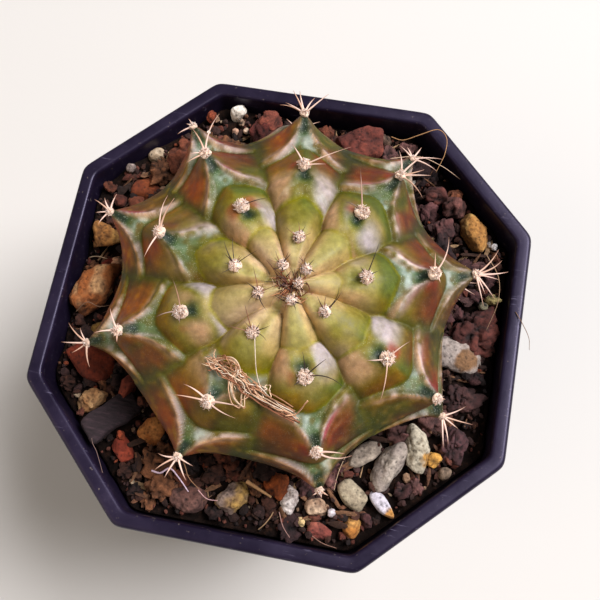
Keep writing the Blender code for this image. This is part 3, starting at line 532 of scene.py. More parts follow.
def shade_tints(finish, size, detail, roughness, spread, shades):
    """Nodes that multiply the mesh's own tint by a shade that follows a noise of that size.
    Gives back the tint, the place, the noise and the shaded tint."""
    tint = add_node(finish, "ShaderNodeAttribute", "Color", {}, attribute_name="tint")
    place = add_node(finish, "ShaderNodeTexCoord", "Object", {})
    grain = add_node(finish, "ShaderNodeTexNoise", "Fac", {
        "Vector": place, "Scale": 1 / size, "Detail": detail, "Roughness": roughness})
    shade = add_node(finish, "ShaderNodeMapRange", "Result", {
        "Value": grain, "From Min": spread[0], "From Max": spread[1],
        "To Min": shades[0], "To Max": shades[1]})
    shaded = add_node(finish, "ShaderNodeVectorMath", "Vector", {
        "Vector": tint, "Scale": shade}, operation="SCALE")
    return tint, place, grain, shaded


# Bark, lava and perlite crumbs: broken, matt, each a shade of its own, with a rough face.
crumb, shader = new_finish("bark_and_lava_crumbs", "#3a2620", 0.9, 1.45)
_, _, pits, shaded = shade_tints(crumb, 0.5 * MM, 6.0, 0.7, (0.3, 0.7), (0.45, 1.35))
link(crumb, shaded, shader.inputs["Base Color"])
broken = add_node(crumb, "ShaderNodeBump", "Normal", {
    "Height": pits, "Strength": 1.0, "Distance": 0.45 * MM})
link(crumb, broken, shader.inputs["Normal"])

draw = np.random.default_rng(5)
stone_nodes = set(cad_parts) - {"pot", "potting_mix", "cactus", "dried_flower"}
stone_boxes = np.array([[list(corner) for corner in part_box(name)] for name in sorted(stone_nodes)])
crumb_places, crumb_sizes = [], []
for count, *sizes_mm in CRUMB_SIZES_MM:
    flat, size = scatter(draw, count, sizes_mm, 0.1 * MM, least=CRUMBS_START ** 2)
    height = mix_height(flat[:, 0], flat[:, 1]) + draw.uniform(-0.35, 0.45, count) * size
    free = clear_of_stones(flat, 0.90)
    crumb_places.append(np.column_stack([flat, height])[free])
    crumb_sizes.append(size[free])
crumb_places, crumb_sizes = np.concatenate(crumb_places), np.concatenate(crumb_sizes)
crumb_tones = pick_tones(draw, CRUMB_TONES, len(crumb_places))
crumbs = put_lumps("mix_crumbs", crumb_places, crumb_sizes, draw, crumb_tones, crumb)
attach(crumbs, "root")

# Stones
# Screened gravel laid on top: red and brown lava, broken fired clay, ochre, tan and grey
# pumice, white perlite and a few smooth pebbles. Each was dropped in place and half sunk.
STONE_FULLNESS, STONE_ROWS, STONE_COLUMNS = 1.10, 44, 66
PITS_EACH, PIT_WIDTHS_MM, PIT_DEPTH = 60, (0.16, 0.416), 0.1

# For each: how sharp its edges are, how rough and how pitted it is, then its main colour, the
# one of its patches and the one of its hollows, which on most is a darker one that paints the
# shade in its pits and creases.
STONE_LOOKS = {
    "lava_red_north": (22, 0.10, 0.5, "#6e3226", "#85402f", "#341511"),
    "pebble_white_north": (9, 0.08, 0.3, "#d3c6b6", "#e6ddd0", "#9c8d7c"),
    "pebble_cream_northwest": (9, 0.08, 0.4, "#b39c80", "#d1bfa5", "#70583f"),
    "clay_orange_northwest": (10, 0.03, 0.0, "#6f3013", "#85401b", "#46200e"),
    "pumice_ochre_west": (12, 0.15, 1.0, "#9a6630", "#bd8a48", "#4a2912"),
    "pumice_tan_west": (15, 0.11, 0.7, "#965424", "#c29464", "#4c2812"),
    "pumice_yellow_west": (12, 0.09, 0.6, "#8f6a2a", "#ae8a45", "#4a3214"),
    "clay_shard_west": (46, 0.03, 0.1, "#803015", "#6a2610", "#42180b"),
    "pumice_tan_southwest": (20, 0.16, 0.7, "#a97648", "#c99e6c", "#5f3d22"),
    "clay_red_west": (26, 0.06, 0.3, "#6e2c1c", "#8a3c26", "#3c1710"),
    "clay_orange_southwest": (13, 0.07, 0.3, "#a8622a", "#c98444", "#633614"),
    "clay_red_southwest": (36, 0.05, 0.2, "#9c4028", "#84321f", "#4e1c12"),
    "lava_brown_south": (15, 0.10, 0.9, "#5a3931", "#755046", "#261513"),
    "pumice_grey_south": (13, 0.12, 0.9, "#8f796c", "#b8904c", "#4a3430"),
    "perlite_south": (16, 0.18, 0.6, "#d8c8be", "#eee2da", "#8c7a74"),
    "pumice_tan_south": (14, 0.08, 0.6, "#a9866a", "#c7a98c", "#5e4332"),
    "clay_pink_south": (18, 0.09, 0.5, "#864034", "#a25a48", "#481f1a"),
    "pumice_green_south": (8, 0.05, 0.4, "#a3937a", "#b9aa8e", "#4e4230"),
    "pumice_orange_south": (11, 0.08, 0.6, "#b5732f", "#d39a52", "#6c4019"),
    "pebble_two_tone_southeast": (8, 0.04, 0.1, "#cbc3cc", "#c0853a", "#f4f0f6"),
    "pumice_grey_southeast": (11, 0.09, 0.6, "#9c8d82", "#b9aa9a", "#584c46"),
    "pumice_cream_southeast": (8, 0.13, 1.0, "#bfb39c", "#c48a35", "#6f5f48"),
    "pumice_long_southeast": (11, 0.07, 0.5, "#9c8c7c", "#b8a794", "#5f5248"),
    "pumice_grey_east": (10, 0.06, 0.5, "#a3948a", "#805c3c", "#6e5442"),
    "lava_red_east": (16, 0.27, 1.0, "#4a211a", "#612e24", "#170908"),
    "lava_dark_east": (14, 0.26, 1.0, "#3b1f1d", "#53302b", "#170b0a"),
    "lava_purple_east": (14, 0.24, 1.0, "#452829", "#5c393b", "#1b0f10"),
    "pumice_yellow_northeast": (9, 0.11, 0.7, "#a87438", "#c79c58", "#5e3818"),
    "lava_brown_northeast": (15, 0.20, 0.9, "#442523", "#5b3531", "#190d0d"),
    "lava_red_northeast": (14, 0.14, 0.8, "#512822", "#6b382e", "#1f0e0c"),
}

# Stones that the photograph shows larger than their boxes, moved, or with one patch of another
# colour: growth along x, y and z, way moved, and place and radius of the patch.
STONE_SWELL = {
    "lava_red_east": (1.45, 1.40, 1.20), "pumice_grey_east": (1.30, 1.42, 1.15),
    "lava_red_north": (1.36, 1.26, 1.55), "pumice_ochre_west": (1.15, 1.10, 1.15),
    "pumice_tan_west": (1.05, 1.28, 1.15), "clay_red_west": (1.0, 1.30, 1.1),
    "pumice_grey_southeast": (0.98, 1.30, 1.15),
    "pumice_long_southeast": (1.25, 1.25, 1.10), "lava_purple_east": (1.10, 1.35, 1.20)}
STONE_SHIFT_MM = {
    "clay_red_west": (-1.0, 0.3, 0.0), "pumice_tan_west": (-0.3, 0.6, 0.8),
    "pumice_ochre_west": (-0.6, 0.0, 0.6), "pebble_white_north": (0.4, 0.9, 0.9),
    "pebble_cream_northwest": (-0.5, 0.6, 0.9),
    "lava_red_north": (0.2, 0.0, 0.6), "pumice_grey_east": (0.0, 0.8, 0.2),
    "lava_red_east": (0.1, -1.1, 0.2), "pumice_cream_southeast": (-0.8, 0.2, 0.2),
    "lava_purple_east": (-0.2, -0.4, 0.2), "pumice_grey_southeast": (-0.3, 0.4, 0.2)}
STONE_PATCHES_MM = {
    "pebble_two_tone_southeast": (22.5, -28.6, 1.5), "pumice_cream_southeast": (26.8, -19.2, 1.3),
    "pumice_grey_east": (30.0, -3.0, 1.9)}


def ball_directions(rows, columns):
    """Directions of a ball's grid, row by row from the foot up by even steps of its two angles,
    and then those of its poles."""
    tilt = np.linspace(0, math.pi, rows + 2)[1:-1][:, None]
    turn = np.linspace(0, 2 * math.pi, columns, endpoint=False)[None]
    grid = np.stack([
        np.sin(tilt) * np.cos(turn), np.sin(tilt) * np.sin(turn), -np.cos(tilt) * np.ones_like(turn)], -1)
    return np.concatenate([grid.reshape(-1, 3), [(0.0, 0.0, -1.0), (0.0, 0.0, 1.0)]])


def hull_reach(directions, node, sharpness):
    """Distance from a CAD stone's middle to its worn faces by direction: where the power sum of
    the shares of the way to each flat face is one. A high power keeps the edges sharp."""
    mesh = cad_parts[node].data
    normals = np.array([polygon.normal for polygon in mesh.polygons])
    centres = np.array([polygon.center for polygon in mesh.polygons])
    low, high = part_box(node)
    centre = np.array((low + high) / 2)
    distances = ((centres - centre) * normals).sum(1)
    facing = np.clip(directions @ normals.T, 0, None) / np.clip(distances, 0.2 * MM, None)
    worn = (facing ** sharpness).sum(-1) ** (-1 / sharpness)
    return centre, worn * (1 / facing.max(-1)).mean() / worn.mean() * STONE_FULLNESS


# Volcanic gravel and fired clay: dry and matt, its colour patchy by the millimetre, with fine
# open pores that are drawn a little coarser than the real ones so that they show.
gravel, shader = new_finish("volcanic_gravel", "#8a6a55", 0.92, 1.5)
_, place, flecks, flecked = shade_tints(gravel, 0.6 * MM, 7.0, 0.72, (0.32, 0.68), (0.50, 1.32))
pores = add_node(gravel, "ShaderNodeTexVoronoi", "Distance", {
    "Vector": place, "Scale": 1 / (0.75 * MM), "Randomness": 1.0})
# Painted shade in the pores: each is drawn darker towards its middle.
pore_shade = add_node(gravel, "ShaderNodeMapRange", "Result", {
    "Value": pores, "From Min": 0.1, "From Max": 0.34, "To Min": 0.42, "To Max": 1.0})
shaded = add_node(gravel, "ShaderNodeVectorMath", "Vector", {
    "Vector": flecked, "Scale": pore_shade}, operation="SCALE")
link(gravel, shaded, shader.inputs["Base Color"])
broken = add_node(gravel, "ShaderNodeBump", "Normal", {
    "Height": flecks, "Strength": 0.8, "Distance": 0.2 * MM})
pitted = add_node(gravel, "ShaderNodeBump", "Normal", {
    "Height": pores, "Normal": broken, "Strength": 0.5, "Distance": 0.2 * MM})
link(gravel, pitted, shader.inputs["Normal"])

ways = ball_directions(STONE_ROWS, STONE_COLUMNS)
stone_faces = closed_faces(STONE_ROWS, STONE_COLUMNS)
for seed, (node, look) in enumerate(STONE_LOOKS.items()):
    sharpness, coarse, pitting, main, patches, hollow_shade_code = look
    centre, reach = hull_reach(ways, node, sharpness)
    size = reach.mean()
    draw = np.random.default_rng(300 + seed)
    bumps = noise(ways * size, 1.7 * MM, seed) + 0.6 * noise(ways * size, 0.8 * MM, seed + 40)
    bumps += 0.25 * noise(ways * size, 0.4 * MM, seed + 80)
    crease = smooth_step(0.24, 0.0, np.abs(noise(ways * size, 1.5 * MM, seed + 160)))
    crease += 0.6 * smooth_step(0.3, 0.0, np.abs(noise(ways * size, 0.7 * MM, seed + 170)))
    bumps -= 3.0 * coarse * crease
    holes = unit(draw.normal(size=(PITS_EACH, 3)))
    width = draw.uniform(*PIT_WIDTHS_MM, PITS_EACH) * MM / size
    depth = draw.uniform(0.3, 1.0, PITS_EACH) * PIT_DEPTH * pitting
    pit = (depth * np.exp(-np.arccos(np.clip(ways @ holes.T, -1, 1)) ** 2 / width ** 2)).max(-1)
    reach = reach * (1 + coarse * (bumps - 0.25) - pit)
    points = ways * reach[:, None] * STONE_SWELL.get(node, (1.0, 1.0, 1.0))
    points += centre + np.array(STONE_SHIFT_MM.get(node, (0.0, 0.0, 0.0))) * MM
    blotches = noise(points, 2.2 * MM, seed + 120) + 0.4 * noise(points, 0.9 * MM, seed + 9)
    patch = smooth_step(-0.25, 0.6, blotches)
    if node in STONE_PATCHES_MM:
        x, y, radius = STONE_PATCHES_MM[node]
        off = np.hypot(points[:, 0] / MM - x, points[:, 1] / MM - y) + 0.5 * noise(points, 0.8 * MM, seed)
        patch = smooth_step(radius + 0.3, radius - 0.3, off)
    tints = mixed(linear(main), linear(patches), patch[:, None])
    # Painted shade: the pits and low places take the hollow colour, a darker one on all but the two-tone
    # pebble.
    hollow_shade = np.clip(0.96 * pit / PIT_DEPTH + 0.5 * smooth_step(0.0, -0.8, bumps), 0, 1)
    tints = mixed(tints, linear(hollow_shade_code), hollow_shade[:, None])
    stone = put_mesh("stone_" + node, points, stone_faces, gravel, tints)
    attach(stone, "root")
    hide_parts(node)

# Clods
# The coarsest part of the mix: rough lumps of brown and purple lava and of half-rotted bark,
# two and a half to six millimetres across, wedged between the stones and against the wall, and
# the small stones among them.
CLOD_COUNT, CLOD_SIZES_MM, CLOD_ROWS, CLOD_COLUMNS = 230, (2.4, 6.2), 15, 24
CLOD_SHARES, EAST_STARTS = (0.36, 0.24, 0.24, 0.16), 4 * MM
CLOD_TONES = {
    "east": ("#452827", "#573432", "#2f1b1b", "#694540"),
    "west": ("#46271c", "#613220", "#2a1814", "#774a2e"),
}
BARE_MIDDLE = 18 * MM

# For each small stone: x, y and width in mm, its height over the mix in widths, its colour.
SMALL_STONES_MM = (
    (-8.3, 33.0, 4.4, 0.5, "#7e4030"), (-8.6, 30.2, 6.0, 0.3, "#56221a"),
    (-19.0, 32.9, 2.3, 0.6, "#7c3820"), (-13.3, 31.8, 1.5, 0.6, "#b8957a"),
    (-14.1, 30.2, 1.4, 0.5, "#a5806a"), (-12.2, 30.6, 1.2, 0.5, "#c9ad94"),
    (33.0, 7.7, 2.6, 0.8, "#a8965f"), (31.6, 6.5, 2.0, 0.6, "#8a8268"),
    (32.2, 17.0, 1.5, 0.9, "#d6cfcc"), (31.3, 17.5, 1.1, 0.8, "#beb4ac"),
    (-28.4, 3.7, 2.8, 0.6, "#cf9b78"), (4.4, -27.2, 4.4, 0.2, "#8a4218"),
    (13.4, -29.6, 1.6, 0.7, "#d8cdd0"), (16.7, -29.6, 1.2, 0.5, "#c9bfba"),
    (9.0, -31.8, 1.7, 0.6, "#b59a6c"), (24.8, 22.4, 4.4, 0.4, "#5f3a33"),
    (25.2, 25.2, 3.0, 0.4, "#8d5236"), (11.5, 33.2, 3.0, 0.3, "#6e5444"),
    (29.2, -20.6, 2.0, 0.5, "#7a6654"), (-26.0, -24.0, 3.4, 0.4, "#5a3a30"),
    (-30.0, 3.0, 2.6, 0.4, "#7a2f20"), (-21.4, -24.0, 1.8, 0.5, "#a0482a"),
    (27.2, -18.9, 3.2, 0.35, "#bd8a40"), (-30.4, 14.0, 3.0, 0.3, "#4f2418"),
    (-30.9, 20.6, 1.9, 0.5, "#8b7a72"))


def put_clods(name, flat, size, lift, tones, roughness, draw):
    """One mesh of rough lumps at flat places: a ball squashed along its axes and turned at
    random, its radius times 1 + roughness x noise of three sizes, drawn darker in its hollows
    and lighter on its bumps as painted shade and light."""
    count = len(flat)
    way = ball_directions(CLOD_ROWS, CLOD_COLUMNS)
    ball = way[None] * size[:, None, None] / 2 + 7.1 * np.arange(count)[:, None, None]
    bumps = noise(ball, 1.7 * MM, 5) + noise(ball, 0.9 * MM, 6) + 0.6 * noise(ball, 0.45 * MM, 7)
    bumps -= 0.8 * smooth_step(0.25, 0.0, np.abs(noise(ball, 1.3 * MM, 8)))
    squash = draw.uniform(0.62, 1.0, (count, 1, 3))
    points = way[None] * squash * (size[:, None] / 2 * (1 + roughness * bumps))[..., None]
    points = np.einsum("nij,nkj->nki", turned_at_random(draw, count), points)
    height = mix_height(flat[:, 0], flat[:, 1]) + size * lift
    points += np.column_stack([flat, height])[:, None]
    # Painted shade and light: darker where the noise sinks the surface, lighter where it lifts it.
    tints = np.clip(tones[:, None] * (1 + 0.65 * bumps[..., None]), 0, 1)
    faces = closed_faces(CLOD_ROWS, CLOD_COLUMNS, count)
    return put_mesh(name, points.reshape(-1, 3), faces, crumb, tints.reshape(-1, 3))


# The small stones keep inside the wall, and the clods keep clear of them and of one another.
small = np.array([row[:4] for row in SMALL_STONES_MM])
small_reach = np.hypot(small[:, 0], small[:, 1])
small_limit = outline_radius(np.arctan2(small[:, 1], small[:, 0]), edge_width) / MM - 0.55 * small[:, 2]
small[:, :2] *= np.minimum(1, small_limit / small_reach)[:, None]
draw = np.random.default_rng(71)
flat, size = scatter(draw, 9 * CLOD_COUNT, CLOD_SIZES_MM, 0.1 * MM, BARE_MIDDLE)
free = clear_of_stones(flat, 1.0, 0.26 * size[:, None, None])
past_small = np.linalg.norm(flat[:, None] - small[:, :2] * MM, axis=-1) - small[:, 2] * 0.4 * MM
free &= (past_small > 0.36 * size[:, None]).all(1)
kept = []
for index in np.flatnonzero(free):
    gap = np.hypot(*(flat[kept] - flat[index]).T) - 0.33 * (size[kept] + size[index])
    if len(kept) < CLOD_COUNT and (not kept or gap.min() > 0):
        kept.append(index)
sides = np.where(flat[kept, 0] > EAST_STARTS, "east", "west")
shades = draw.choice(4, len(kept), p=CLOD_SHARES)
tones = np.array([linear(CLOD_TONES[side][shade]) for side, shade in zip(sides, shades)])
lift = draw.uniform(-0.05, 0.26, len(kept))
clods = put_clods("mix_clods", flat[kept], size[kept], lift, tones, 0.40, draw)
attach(clods, "root")
small_tones = np.array([linear(row[4]) for row in SMALL_STONES_MM])
small_stones = put_clods(
    "small_stones", small[:, :2] * MM, small[:, 2] * MM, small[:, 3], small_tones, 0.20, draw)
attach(small_stones, "root")

# Bark shreds
# Thin torn strips of bark fibre, two to five and a half millimetres long, that were mixed in
# with the soil and lie on it every way.
SHRED_COUNT, SHRED_SIZES_MM = 420, (2.0, 5.6)
SHRED_TONES = (("#5f3d2a", 0.3), ("#3d2519", 0.3), ("#7d573c", 0.2), ("#a5835f", 0.1), ("#2a1912", 0.1))

draw = np.random.default_rng(88)
flat, size = scatter(draw, SHRED_COUNT, SHRED_SIZES_MM, 0.3 * MM, BARE_MIDDLE)
free = clear_of_stones(flat, 1.05)
height = mix_height(flat[:, 0], flat[:, 1]) + draw.uniform(0.1, 1.0, SHRED_COUNT) * MM
tones = pick_tones(draw, SHRED_TONES, SHRED_COUNT)
shreds = put_lumps(
    "bark_shreds", np.column_stack([flat, height])[free], size[free], draw, tones[free], crumb,
    axes=((0.10, 0.30), (0.05, 0.14)), tilt=0.2)
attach(shreds, "root")

# Bark chip
# A flat splinter of pine bark that leans out of the mix at the front left corner, split along
# its grain and weathered dark.
BARK_PLACE_MM, BARK_SIZE_MM, BARK_HEIGHT_MM = (-23.4, -21.6), (9.4, 4.4, 1.8), 65.1
BARK_TILT, BARK_TURN, BARK_SQUARENESS = math.radians(24), math.radians(231), 5.0
BARK_GRAIN_PER_METRE = (350.0, 2200.0, 1500.0)

# Pine bark, weathered: matt and nearly black, with fibres three millimetres long and half a
# millimetre wide drawn out along its grain.
bark, shader = new_finish("pine_bark", "#3b2622", 0.88, 1.45)
place = add_node(bark, "ShaderNodeTexCoord", "Object", {})
turned = add_node(bark, "ShaderNodeMapping", "Vector", {
    "Vector": place, "Rotation": (0.0, 0.0, -BARK_TURN), "Scale": BARK_GRAIN_PER_METRE})
fibre = add_node(bark, "ShaderNodeTexNoise", "Fac", {
    "Vector": turned, "Scale": 1.0, "Detail": 6.0, "Roughness": 0.65})
fibre_tone = add_node(
    bark, "ShaderNodeValToRGB", "Color", {"Fac": fibre},
    stops=[(0.3, "#160e0f"), (0.55, "#2a1c20"), (0.78, "#443236")])
link(bark, fibre_tone, shader.inputs["Base Color"])
split = add_node(bark, "ShaderNodeBump", "Normal", {"Height": fibre, "Strength": 0.9, "Distance": 0.3 * MM})
link(bark, split, shader.inputs["Normal"])

reach = (np.abs(ways) ** BARK_SQUARENESS).sum(1) ** (-1 / BARK_SQUARENESS)
plank = ways * reach[:, None] * np.array(BARK_SIZE_MM) / 2
plank[:, 2] += 0.22 * noise(plank * (0.35, 1.6, 1.0), 1.0, 5)
plank[:, :2] *= (1 + 0.16 * noise(plank, 1.8, 6))[:, None]
lean = np.array(Matrix.Rotation(BARK_TURN, 3, "Z") @ Matrix.Rotation(-BARK_TILT, 3, "Y"))
plank = (plank @ lean.T + (*BARK_PLACE_MM, BARK_HEIGHT_MM)) * MM
bark_chip = put_mesh("bark_splinter", plank, stone_faces, bark)
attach(bark_chip, "root")
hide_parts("bark_chip")

# Cactus body
# One grown body of nine ribs round a sunken crown, narrowing to a root neck in the mix. Each
# rib is a row of tubercles: a plump chin outward of every areole, a shallow trough on its inner
# side, and two pale ridges that run back from the areole and clasp the chin before it.
RIBS = np.radians((14.5, 56.5, 94.5, 130.5, 166.5, 204.0, 247.0, 290.0, 332.0))

# Along each rib, the way from the crown to its areoles, and how far the crest wanders there.
AREOLES_MM = (
    (1.2, 10.7, 21.2, 30.5, 40.0), (3.0, 15.2, 25.1, 34.0, 43.0), (6.8, 18.9, 29.6, 39.5),
    (2.8, 13.6, 24.4, 33.0, 42.5), (8.0, 20.5, 31.4, 41.5), (4.4, 15.6, 25.3, 33.8, 43.0),
    (8.4, 20.0, 31.4, 41.5), (2.4, 13.3, 24.3, 33.1, 42.5), (6.2, 17.5, 27.5, 35.0, 44.0))
RIB_TURNS_DEGREES = (
    (0.5, 0.5, -0.7, -2.1, -2.1), (-6.5, -0.4, -1.5, -2.1, -2.1), (-5.1, -1.4, -0.6, -0.6),
    (-9.5, 0.1, 0.8, -1.6, -1.6), (4.4, 0.6, 0.2, 0.2), (2.9, 0.9, 2.6, 4.2, 4.2),
    (-2.4, 0.8, 4.0, 4.0), (-2.6, 0.4, 0.9, 1.2, 1.2), (-0.8, 0.1, -0.4, -2.1, -2.1))

# How much each rib stands out, and how deep the furrow after it is, of which 5.4 is the usual.
REACH_MM = (-2.0, -3.0, -2.2, -1.9, -2.0, -1.5, -1.6, -0.5, -0.4)
FURROW_DEPTHS_MM, FURROW_NORMAL_MM = (7.0, 5.7, 6.0, 5.5, 5.4, 3.8, 3.6, 3.8, 5.2), 5.4
DEPTH_ARCS_MM = (0, 4, 8, 14, 22, 32, 38, 45, 51, 54)
DEPTHS_MM = (0.1, 0.8, 1.6, 2.7, 4.0, 5.4, 6.2, 4.6, 1.8, 0.0)
GLOBE_RADIUS_MM, GLOBE_TOP_MM, GLOBE_LOWER_MM, WIDEST_MM = 30.0, 12.0, 11.6, 6.0
CROWN_LEAN_MM, CROWN_DIMPLE_MM = (3.0, -3.4), 1.0
NECK_ANGLE, NECK_DEPTH_MM, RIBBED_ARC_MM = math.radians(60.5), 24.0, 54.0
HALF_RIB_COLUMNS, FINE_ARC_MM, FINE_STEP_MM, COARSE_STEP_MM, NECK_ROWS = 26, 45, 0.26, 0.8, 8
FURROW_ANGLES = (RIBS + np.append(RIBS[1:], RIBS[0] + 2 * math.pi)) / 2
END_GAP_MM = 10

# The ground colour of the skin by the way from the crown, as it ages.
RING_ARCS_MM = (0, 5, 9, 14, 20, 27, 34, 42, 50, 60)
RING_COLOURS = (
    "#c4a784", "#c0a57a", "#ad9662", "#7b7140", "#635a2e",
    "#65502a", "#5a4020", "#4b321b", "#40341f", "#544630")


def crest_line(samples=3000):
    """The crest of a rib in its own plane, in millimetres: a quarter ellipse from the crown to
    the widest ring, a second one curling under it, and a third for the root neck. Gives back
    arc lengths, radii, heights, and the outward and upward parts of the line's normal."""
    upper = np.linspace(0, math.pi / 2, samples)
    lower = np.linspace(0, NECK_ANGLE, samples)[1:]
    neck_radius = GLOBE_RADIUS_MM * math.cos(NECK_ANGLE)
    neck_top = WIDEST_MM - GLOBE_LOWER_MM * math.sin(NECK_ANGLE)
    radius = np.concatenate([
        GLOBE_RADIUS_MM * np.sin(upper), GLOBE_RADIUS_MM * np.cos(lower), neck_radius * np.cos(upper[1:])])
    height = np.concatenate([
        WIDEST_MM + GLOBE_TOP_MM * np.cos(upper), WIDEST_MM - GLOBE_LOWER_MM * np.sin(lower),
        neck_top - NECK_DEPTH_MM * np.sin(upper[1:])])
    arc = np.concatenate([[0.0], np.cumsum(np.hypot(np.diff(radius), np.diff(height)))])
    out, lift = -np.gradient(height, arc), np.gradient(radius, arc)
    return arc, radius, height, out / np.hypot(out, lift), lift / np.hypot(out, lift)


CREST = crest_line()


def rib_angle(number, arc):
    """Direction of a rib's crest, which wanders a little from areole to areole."""
    return RIBS[number] + np.radians(np.interp(arc, AREOLES_MM[number], RIB_TURNS_DEGREES[number]))


def dome(square):
    """Drop of a round dome by the square of the share of its radius: 1 - sqrt(1 - square), and
    past nine tenths of it a straight line on."""
    inside = np.minimum(square, 0.9)
    return 1 - np.sqrt(1 - inside) + 1.58 * (square - inside)


def tubercle(along, across, half_width, arc, inner_gap, outer_gap):
    """How far a tubercle lies under its rib's crest, and how far a point is outward of its ridges.

    A tubercle is a round dome by its share of the way to the next one outward, to the one
    before it, and to its furrows. On an old one the inner side is a trough instead, between
    ridges that run back by a length that grows as 1 - exp(-across / width). A notch holds the
    areole.
    """
    old = smooth_step(17, 23, arc)
    older = smooth_step(17, 23, arc + outer_gap)
    low = smooth_step(36, 44, arc)
    spread = np.sqrt(across ** 2 + 0.45 ** 2) - 0.45
    ridge = along + mixed(1.0, 0.66 * inner_gap, old) * (1 - np.exp(-spread / mixed(1.0, 2.0, old)))
    inward = np.clip(-ridge, 0, None) / (mixed(0.42, 0.70, old) * inner_gap)
    level = np.clip(-along, 0, None) / (0.72 * inner_gap) * smooth_step(0.1, -1.3, ridge)
    reach = np.clip(along, 0, None) / (mixed(0.74, 0.56, older) * outer_gap)
    width = across / np.maximum(half_width, 0.8)
    round_side = dome(reach ** 2 + mixed(0.55, 0.20, old) * width ** 2 + (1 - old) * inward ** 2)
    depth = (2.3 + 0.2 * old) * (1 - 0.45 * low)
    nose = -1.3 * old * (1 - low) * np.exp(-(along ** 2 + across ** 2) / 1.9 ** 2)
    crease = -0.35 * old * (1 - low) * np.exp(-((ridge - 0.35) / 0.55) ** 2)
    notch = np.exp(-((along + 1.3 + 0.3 * old) / 1.2) ** 2 - (across / 1.0) ** 2)
    notch = notch * smooth_step(3, 10, arc)
    trough = old * (0.45 * inward ** 1.15 + 0.55 * level ** 1.2)
    return depth * (round_side + trough) + nose + crease + mixed(0.70, 0.45, old) * notch, ridge


def soft_least(values, softness):
    """The smallest of several arrays, with rounded changes from one to the next."""
    least = values.min(0)
    return least - softness * np.log(np.exp((least - values) / softness).sum(0))


def skin(angle, arc):
    """Offset of the skin from the crest line by direction and arc length, all in millimetres.

    Each rib falls from its crest to its two furrows, rounded near the crown and hollow further
    out, less the drops of its tubercles. The highest rib wins. With the offset come the winning
    tubercle's own measures, for the colours.
    """
    angle, arc = np.broadcast_arrays(np.asarray(angle, float), np.asarray(arc, float))
    radius = np.interp(arc, CREST[0], CREST[1])
    depth = np.interp(arc, DEPTH_ARCS_MM, DEPTHS_MM)
    fading = 1 - smooth_step(45, RIBBED_ARC_MM, arc)
    old = smooth_step(8, 28, arc)
    falls, marks = [], []
    for number in range(len(RIBS)):
        rib = rib_angle(number, arc)
        turn = (angle - rib + math.pi) % (2 * math.pi) - math.pi
        before = FURROW_ANGLES[number - 1] - (0 if number else 2 * math.pi)
        half = np.where(turn > 0, FURROW_ANGLES[number] - rib, rib - before)
        furrow = np.where(turn > 0, FURROW_DEPTHS_MM[number], FURROW_DEPTHS_MM[number - 1]) / FURROW_NORMAL_MM
        share = np.abs(turn) / half
        across = np.abs(turn) * radius
        inside = (np.sqrt(np.clip(share, 0, 1) ** 2 + 0.012) - 0.1095) / 0.8965
        crest = REACH_MM[number] * old * fading
        valley = depth * (1 + (furrow - 1) * old) + crest
        fall = mixed(inside ** 3.4, 1 - (1 - inside) ** 1.9, old)
        fall = valley * fall + 1.6 * depth * np.clip(share - 1, 0, None) - crest
        areoles = np.array(AREOLES_MM[number])
        gaps = np.diff(np.concatenate([[areoles[0] - END_GAP_MM], areoles, [areoles[-1] + END_GAP_MM]]))
        drops, ridges = zip(*[
            tubercle(arc - spot, across, half * radius, spot, gaps[order], gaps[order + 1])
            for order, spot in enumerate(areoles)])
        drops, ridges = np.array(drops), np.array(ridges)
        relief = soft_least(drops, 0.10) * (1 - 0.55 * old * smooth_step(0.35, 1.0, share))
        falls.append(fall + relief * fading)
        order = drops.argmin(0)[None]
        sorted_drops = np.sort(drops, axis=0)
        marks.append(np.stack([
            np.take_along_axis(ridges, order, 0)[0], arc - areoles[order[0]], across * np.sign(turn), share,
            areoles[order[0]], sorted_drops[1] - sorted_drops[0]]))
    falls, marks = np.array(falls), np.array(marks)
    winner = falls.argmin(0)
    marks = np.take_along_axis(marks, winner[None, None], 0)[0]
    ordered = np.sort(falls, axis=0)
    return -soft_least(falls, 0.12), marks, ordered[1] - ordered[0]


def skin_point(angle, arc):
    """Points of the skin in metres, with the crown leaning off the middle of the ring. Near the
    widest ring the offset moves a point more sideways than up, so that no furrow folds over."""
    radius, height, out, lift = [np.interp(arc, CREST[0], values) for values in CREST[1:]]
    offset, marks, furrow = skin(angle, arc)
    deepest = mixed(1.4, 9.0, smooth_step(2, 10, arc))
    offset = -soft_least(np.stack([-offset, deepest]), 0.15)
    open_share = smooth_step(0, 2, arc)
    offset = offset * open_share - CROWN_DIMPLE_MM * (1 - open_share)
    lean = np.clip((height - WIDEST_MM) / GLOBE_TOP_MM, 0, 1)
    reach = radius + offset * out
    points = np.stack([
        PLANT_MIDDLE_MM[0] + CROWN_LEAN_MM[0] * lean + reach * np.cos(angle),
        PLANT_MIDDLE_MM[1] + CROWN_LEAN_MM[1] * lean + reach * np.sin(angle),
        POT_HEIGHT / MM + height + offset * lift * (0.45 + 0.55 * lift ** 2)], -1) * MM
    return points, marks, furrow


